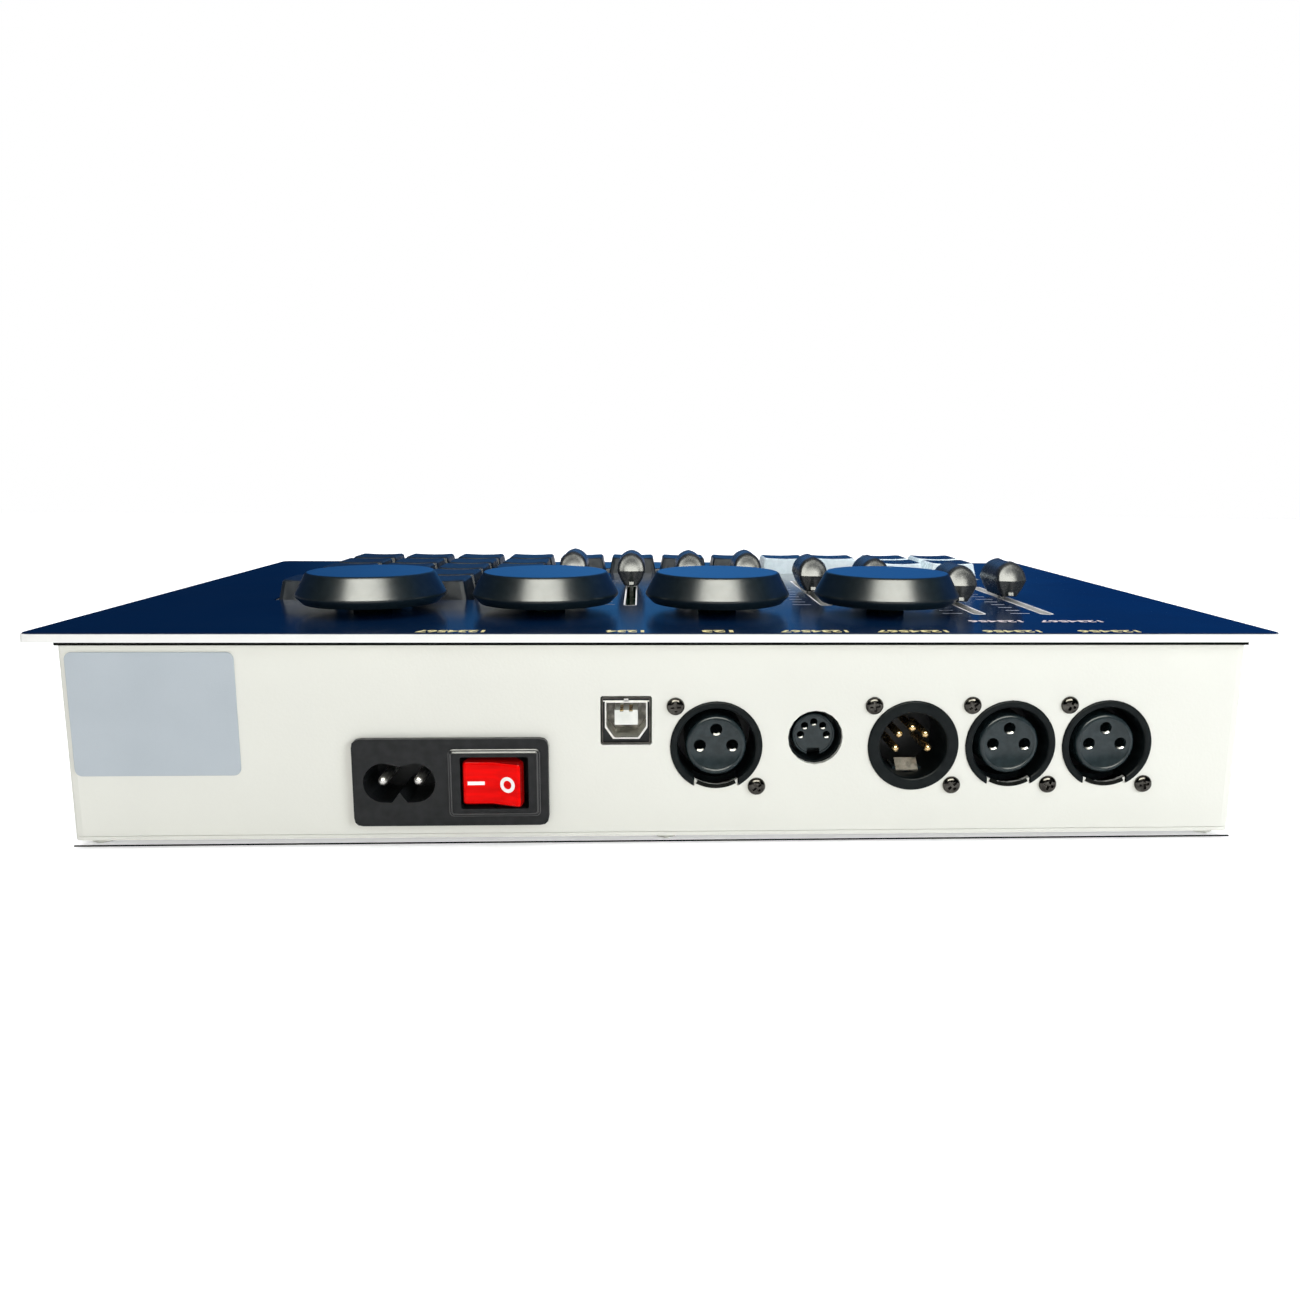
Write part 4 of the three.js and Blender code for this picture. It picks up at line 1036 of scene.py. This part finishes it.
BEZEL_OFFSET = 10.8 * MM
BEZEL_WIDTH = 22.7 * MM
BEZEL_HEIGHT = 17.3 * MM
BEZEL_CORNER = 1.2 * MM
BEZEL_SLOPE = 0.9 * MM
BEZEL_RISE = 0.45 * MM
BEZEL_PROUD = 0.2 * MM


def bezel_trim():
    """Sloping edge round the bezel of the rocker."""
    low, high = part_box("power_inlet")
    x, _, z = middle(low, high)
    x += BEZEL_OFFSET
    outside = rounded(BEZEL_WIDTH, BEZEL_HEIGHT, BEZEL_CORNER, x, z)
    inside = rounded(BEZEL_WIDTH - 2 * BEZEL_SLOPE, BEZEL_HEIGHT - 2 * BEZEL_SLOPE, BEZEL_CORNER / 2, x, z)
    front = low.y - BEZEL_PROUD
    back = front + BEZEL_RISE
    vertices = []
    for loop, y in ((outside, back), (inside, front), (inside, back)):
        vertices += [Vector((px, y, pz)) for px, pz in loop]
    count = len(outside)
    faces = [*band(0, count, count), *band(count, 2 * count, count), *band(2 * count, 0, count)]
    trim = smooth(mesh_object("bezel_trim", vertices, faces, BEZEL), sharp=20)
    dress(trim, "case", "black_plastic")


# Rocker and its marks

ROCKER_TILT = radians(11)
ROCKER_PIVOT = 2 * MM
ROCKER_WIDTH = 15.2 * MM
ROCKER_HEIGHT = 11.5 * MM
ROCKER_WAIST = 3.4 * MM
ROCKER_DEPTH = 8 * MM
ROCKER_TAIL = 3 * MM
ROCKER_EDGE = 1.1 * MM
MARK_THICK = 0.12 * MM
MARK_LIFT = 0.03 * MM
MARK_OFFSET = 4.1 * MM
DASH_LENGTH = 4.2 * MM
DASH_HEIGHT = 0.9 * MM
RING_OUTSIDE = 2.0 * MM
RING_INSIDE = 1.1 * MM


def rocker_pivot():
    joint = next(j for j in frame["joints"] if j["child"] == "power_rocker")
    return Vector(joint["pos_m"])


def rocker_piece():
    """Two facets that meet in a shallow valley, with broad edges."""
    half = ROCKER_WIDTH / 2
    rise = half * sin(ROCKER_TILT) / cos(ROCKER_TILT)
    waist = ROCKER_WAIST - rise
    outline = [(-half, -rise), (0, 0), (half, -rise), (half, waist)]
    outline += [(ROCKER_TAIL, ROCKER_DEPTH), (-ROCKER_TAIL, ROCKER_DEPTH), (-half, waist)]
    vertices = [Vector((x, y, z)) for z in (-ROCKER_HEIGHT / 2, ROCKER_HEIGHT / 2) for x, y in outline]
    count = len(outline)
    faces = [list(range(count)), list(range(count, 2 * count)), *band(0, count, count)]
    rocker = mesh_object("rocker_shell", vertices, faces, RED)
    turn = Matrix.Rotation(-ROCKER_TILT, 4, "Z")
    place = Matrix.Translation(rocker_pivot()) @ turn @ Matrix.Translation((0, -ROCKER_PIVOT, 0))
    rocker.data.transform(place)
    dress(soften(rocker, ROCKER_EDGE, sharp=30, segments=3), "power_rocker", "red_rocker", "power_rocker")


def rocker_marks():
    """A dash on the facet that faces front, a ring on the other."""
    pivot = rocker_pivot()
    valley = pivot + Matrix.Rotation(-ROCKER_TILT, 3, "Z") @ Vector((0, -ROCKER_PIVOT, 0))
    dash = box_mesh("rocker_dash", DASH_LENGTH, MARK_THICK, DASH_HEIGHT, valley.x - MARK_OFFSET,
                    valley.y - MARK_LIFT, pivot.z - DASH_HEIGHT / 2, WHITE_INK)
    profile = [(RING_OUTSIDE, 0), (RING_INSIDE, 0), (RING_INSIDE, MARK_THICK), (RING_OUTSIDE, MARK_THICK)]
    profile += [(RING_OUTSIDE, 0)]
    lifted = Vector((0, -MARK_THICK / 2 - MARK_LIFT, 0))
    ring = revolve("rocker_ring", profile, lifted, WHITE_INK, "Y", steps=40)
    turn = Matrix.Rotation(-2 * ROCKER_TILT, 4, "Z")
    place = Matrix.Translation(valley) @ turn @ Matrix.Translation((MARK_OFFSET, 0, 0))
    ring.data.transform(place @ Matrix.Translation((0, 0, pivot.z - valley.z)))
    for mark in (dash, ring):
        dress(mark, "power_rocker", "red_rocker")


# Painted shadow under the deck's overhang, and a painted shade line along the foot

SHADE_LINE_LOW = 51.2 * MM
SHADE_LINE_THICK = 0.25 * MM
SHADE_LINE_CLEAR = 0.025 * MM
BASE_LINE = 0.35 * MM


def shade_line(name, left, right, bottom, top, front, back):
    # A thin dark strip just in front of the walls, which paints shade.
    outline = [(left, bottom), (right, bottom), (right, top), (left, top)]
    dress(panel_block(name, outline, front, back, SHADOW), "case", "black_plastic")


def deck_shadow_line():
    """Painted shadow under the deck's overhang: a dark strip on the walls just below the deck, as seen from
    the socket side.
    """
    shade_line("deck_shadow_line", CASE_LOW.x, CASE_HIGH.x, SHADE_LINE_LOW, CASE_HIGH.z,
         PANEL_Y - SHADE_LINE_THICK, PANEL_Y - SHADE_LINE_CLEAR)


def base_shade_line():
    """Painted shade: a thin dark line along the foot of the socket side."""
    low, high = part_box("base_plate")
    front = low.y - PANEL_CLEAR
    shade_line("base_shade_line", low.x, high.x, low.z, low.z + BASE_LINE, front, front + SHADE_LINE_THICK)


# Label plate and deck printing

LABEL_WIDTH = 40 * MM
LABEL_HEIGHT = 31 * MM
LABEL_X = -124.9 * MM
LABEL_Z = 34.1 * MM
LABEL_THICK = 0.35 * MM
LABEL_CORNER = 1.8 * MM
LABEL_EDGE = 0.15 * MM
LABEL_CLEAR = 0.02 * MM


def label_piece():
    outline = rounded(LABEL_WIDTH, LABEL_HEIGHT, LABEL_CORNER, LABEL_X, LABEL_Z, steps=8)
    label = panel_block("blank_label", outline, PANEL_Y - LABEL_THICK, PANEL_Y - LABEL_CLEAR, LABEL)
    dress(soften(label, LABEL_EDGE), "case", "label_film")


# Left and right ends of each printed group in mm, along the socket edge and beside the last two faders
SOCKET_PRINT = [(-60.1, -43.6), (-14.5, -5.2), (8.8, 16.5), (28.1, 44.9), (51.9, 69.8), (78.5, 92.9),
                (102.5, 117.8)]
MASTER_PRINT = [(80.1, 94.3), (99.1, 115.8)]
SOCKET_PRINT_SETBACK = 3.5 * MM
MASTER_PRINT_SETBACK = 19.8 * MM
PRINT_HEIGHT = 2.9 * MM
PRINT_BOLD = 0.14 * MM
PRINT_DIGIT = 2.4 * MM
FONT_SHARE = 1.4
INK_THICK = 0.03 * MM


def digit_curve(name, width):
    """Text object of running numbers, as many as fit the width."""
    curve = bpy.data.curves.new(name, "FONT")
    curve.body = "1234567890"[: round(width / PRINT_DIGIT)]
    curve.size = PRINT_HEIGHT * FONT_SHARE
    curve.align_x = "CENTER"
    curve.align_y = "CENTER"
    curve.resolution_u = 3
    curve.offset = PRINT_BOLD
    return linked(name, curve)


def printed_numbers(name, spans, setback, material):
    """Plain running numbers that fill each span, read from the operator's side."""
    pieces = []
    for left, right in spans:
        width = (right - left) * MM
        text = digit_curve(name, width)
        bpy.context.view_layer.update()
        settled = bpy.data.meshes.new_from_object(text.evaluated_get(bpy.context.evaluated_depsgraph_get()))
        natural = max(v.co.x for v in settled.vertices) - min(v.co.x for v in settled.vertices)
        place = Matrix.Translation(((left + right) / 2 * MM, REAR_Y + setback, DECK_Z + INK_THICK))
        stretch = Matrix.Diagonal((width / natural, 1, 1, 1))
        settled.transform(place @ Matrix.Rotation(pi, 4, "Z") @ stretch)
        settled.materials.clear()
        settled.materials.append(material)
        pieces.append(linked(name + "_part", settled))
        bpy.data.objects.remove(text)
    dress(join(name, pieces), "case", "printed_ink")


TICK_LENGTH = 5.4 * MM
TICK_WIDTH = 0.35 * MM
TICK_COUNT = 11
TICK_OFFSET = 7.2 * MM
TICK_SHORT = 0.72
TICK_MAJOR = 5
TICK_LIFT = 0.005 * MM
FADER_TRAVEL = 60 * MM


def fader_ends():
    """For each fader, its x and its cap's middle y at the far end of travel."""
    ends = []
    for joint in frame["joints"]:
        if joint["child"].startswith("fader_cap"):
            x, y, _ = middle(*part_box(joint["child"]))
            ends.append((x, y + joint["range_m"][1]))
    return ends


def fader_scales():
    """Graduation lines beside each slot, over its fader's travel."""
    pieces = []
    for x, top in fader_ends():
        for i in range(TICK_COUNT):
            y = top - FADER_TRAVEL * i / (TICK_COUNT - 1)
            length = TICK_LENGTH if i % TICK_MAJOR == 0 else TICK_LENGTH * TICK_SHORT
            pieces.append(box_mesh("tick", length, TICK_WIDTH, INK_THICK, x - TICK_OFFSET, y,
                                   DECK_Z + TICK_LIFT, LINE_INK))
    dress(join("fader_scales", pieces), "case", "printed_ink")


SLOT_HALF = 1.5 * MM
SLOT_END = 2.1 * MM
SLOT_EDGE = 0.4 * MM
SLOT_WALL = 1.0 * MM
SLOT_STEPS = 8


def slot_rim(x, start, end):
    """Bare cut edge of the deck round a fader's slot."""
    loop = [(end, pi * i / SLOT_STEPS) for i in range(SLOT_STEPS + 1)]
    loop += [(start, pi + pi * i / SLOT_STEPS) for i in range(SLOT_STEPS + 1)]
    inside, outside, top = SLOT_HALF - PANEL_CLEAR, SLOT_HALF + SLOT_EDGE, DECK_Z + INK_THICK
    vertices = []
    for radius, z in ((inside, DECK_Z - SLOT_WALL), (inside, top), (outside, top)):
        vertices += [Vector((x + radius * cos(angle), y + radius * sin(angle), z)) for y, angle in loop]
    count = len(loop)
    faces = [*band(0, count, count), *band(count, 2 * count, count)]
    return smooth(mesh_object("slot_rim", vertices, faces, WHITE_INK))


def slot_rims():
    reach = SLOT_END - SLOT_HALF
    rims = [slot_rim(x, top - FADER_TRAVEL - reach, top + reach) for x, top in fader_ends()]
    dress(join("slot_rims", rims), "case", "bright_metal")


# Stage, lights and camera

# Glow of the floor towards the camera, which brings it to the white of the background
FLOOR_LIFT = 0.42

# Colours of the world, in reflections and as fill
FRONT_DARK = (0.004, 0.010, 0.013)
BLUE_LEFT = (0.001, 0.014, 0.06)
BLUE_MIDDLE = (0.045, 0.20, 0.50)
BLUE_RIGHT = (0.002, 0.036, 0.18)
SOFT_FILL = (0.30, 0.30, 0.31)
WHITE = (1.0, 1.0, 1.0)


def floor():
    material, tree, shader = new_material("pale_floor")
    tone = ramp(tree, noise(tree, 3), (0.88, 0.88, 0.88), (0.9, 0.9, 0.9))
    tree.links.new(tone, shader.inputs["Base Color"])
    shader.inputs["Roughness"].default_value = 0.8
    path = tree.nodes.new("ShaderNodeLightPath")
    lift = maths(tree, "MULTIPLY", path.outputs["Is Camera Ray"], FLOOR_LIFT)
    tree.links.new(lift, shader.inputs["Emission Strength"])
    shader.inputs["Emission Color"].default_value = (1, 1, 1, 1)
    side, front, back = 3.0, -3.0, 1.6
    corners = [(-side, front, 0), (side, front, 0), (side, back, 0), (-side, back, 0)]
    mesh_object("floor", corners, [[0, 1, 2, 3]], material)


def area_light(name, place, aim, size, power, colour, use):
    """A soft light seen only in reflections, for use "gloss", or only in diffuse light, for "fill"."""
    data = bpy.data.lights.new(name, "AREA")
    data.shape = "RECTANGLE"
    data.size, data.size_y = size
    data.energy = power
    data.color = colour
    light = linked(name, data)
    light.visible_glossy = use != "fill"
    light.visible_diffuse = use != "gloss"
    light.location = place
    light.rotation_euler = (Vector(aim) - Vector(place)).to_track_quat("-Z", "Y").to_euler()


def lights():
    """Places in metres and powers in watts."""
    area_light("front_softbox", place=(0.03, -1.5, 1.3), aim=(0, 0, 0.03), size=(2.0, 0.9),
               power=64, colour=(1.0, 1.0, 0.90), use="gloss")
    area_light("front_fill", place=(-0.05, -1.6, 0.35), aim=(0, 0, 0.03), size=(0.9, 0.5),
               power=6.5, colour=(1.0, 0.99, 0.95), use="fill")
    area_light("right_side", place=(0.7, -0.6, 0.3), aim=(0.05, -0.08, 0.03), size=(0.4, 0.4),
               power=4.4, colour=(0.91, 0.95, 1.0), use="fill")
    area_light("overhead", place=(0.0, 0.5, 1.7), aim=(0, 0.5, 0), size=(2.6, 2.2),
               power=40, colour=WHITE, use="fill")


def world_light():
    """White background and soft white fill; reflections are dark in front and blue behind."""
    world = bpy.data.worlds.new("studio")
    bpy.context.scene.world = world
    world.use_nodes = True
    tree = world.node_tree
    background = tree.nodes["Background"]
    path = tree.nodes.new("ShaderNodeLightPath")
    place = tree.nodes.new("ShaderNodeTexCoord")
    parts = tree.nodes.new("ShaderNodeSeparateXYZ")
    tree.links.new(place.outputs["Generated"], parts.inputs["Vector"])
    half = maths(tree, "MULTIPLY_ADD", parts.outputs["X"], 0.5, 0.5)
    blue = ramp(tree, half, BLUE_LEFT, BLUE_RIGHT, stops=(0.34, 0.7))
    blue.node.color_ramp.elements.new(0.5).color = (*BLUE_MIDDLE, 1)
    behind = ramp(tree, parts.outputs["Y"], 0.0, 1.0, stops=(0.0, 0.2))
    glossy = mix_colour(tree, behind, FRONT_DARK, blue)
    fill = mix_colour(tree, path.outputs["Is Glossy Ray"], SOFT_FILL, glossy)
    whole = mix_colour(tree, path.outputs["Is Camera Ray"], fill, WHITE)
    tree.links.new(whole, background.inputs["Color"])
    background.inputs["Strength"].default_value = 1.0
    bpy.context.scene.view_settings.view_transform = "Standard"


def camera():
    data = bpy.data.cameras.new("camera")
    data.sensor_width = 36
    data.lens = CAMERA_LENS
    data.shift_x = CAMERA_SHIFT_X
    data.shift_y = CAMERA_SHIFT_Y
    data.clip_start = 0.01
    ahead = cos(CAMERA_DOWN)
    forward = Vector((sin(CAMERA_YAW) * ahead, cos(CAMERA_YAW) * ahead, -sin(CAMERA_DOWN)))
    level = Vector((cos(CAMERA_YAW), -sin(CAMERA_YAW), 0))
    upright = level.cross(forward)
    right = cos(CAMERA_ROLL) * level + sin(CAMERA_ROLL) * upright
    up = right.cross(forward)
    eye = linked("camera", data)
    eye.matrix_world = Matrix.Translation(CAMERA_PLACE) @ Matrix((right, up, -forward)).transposed().to_4x4()
    bpy.context.scene.camera = eye


finish_nodes()
for number in range(1, 5):
    knob_piece(f"encoder_knob_{number}")
    bush_collar(f"encoder_knob_{number}")
for number in range(1, 9):
    cap_piece(f"fader_cap_{number}")
round_sockets()
din_socket()
usb_socket()
inlet_pins()
bezel_trim()
rocker_piece()
rocker_marks()
deck_shadow_line()
base_shade_line()
label_piece()
printed_numbers("socket_numbers", SOCKET_PRINT, SOCKET_PRINT_SETBACK, YELLOW_INK)
printed_numbers("master_numbers", MASTER_PRINT, MASTER_PRINT_SETBACK, PINK_INK)
fader_scales()
slot_rims()
floor()
lights()
world_light()
camera()
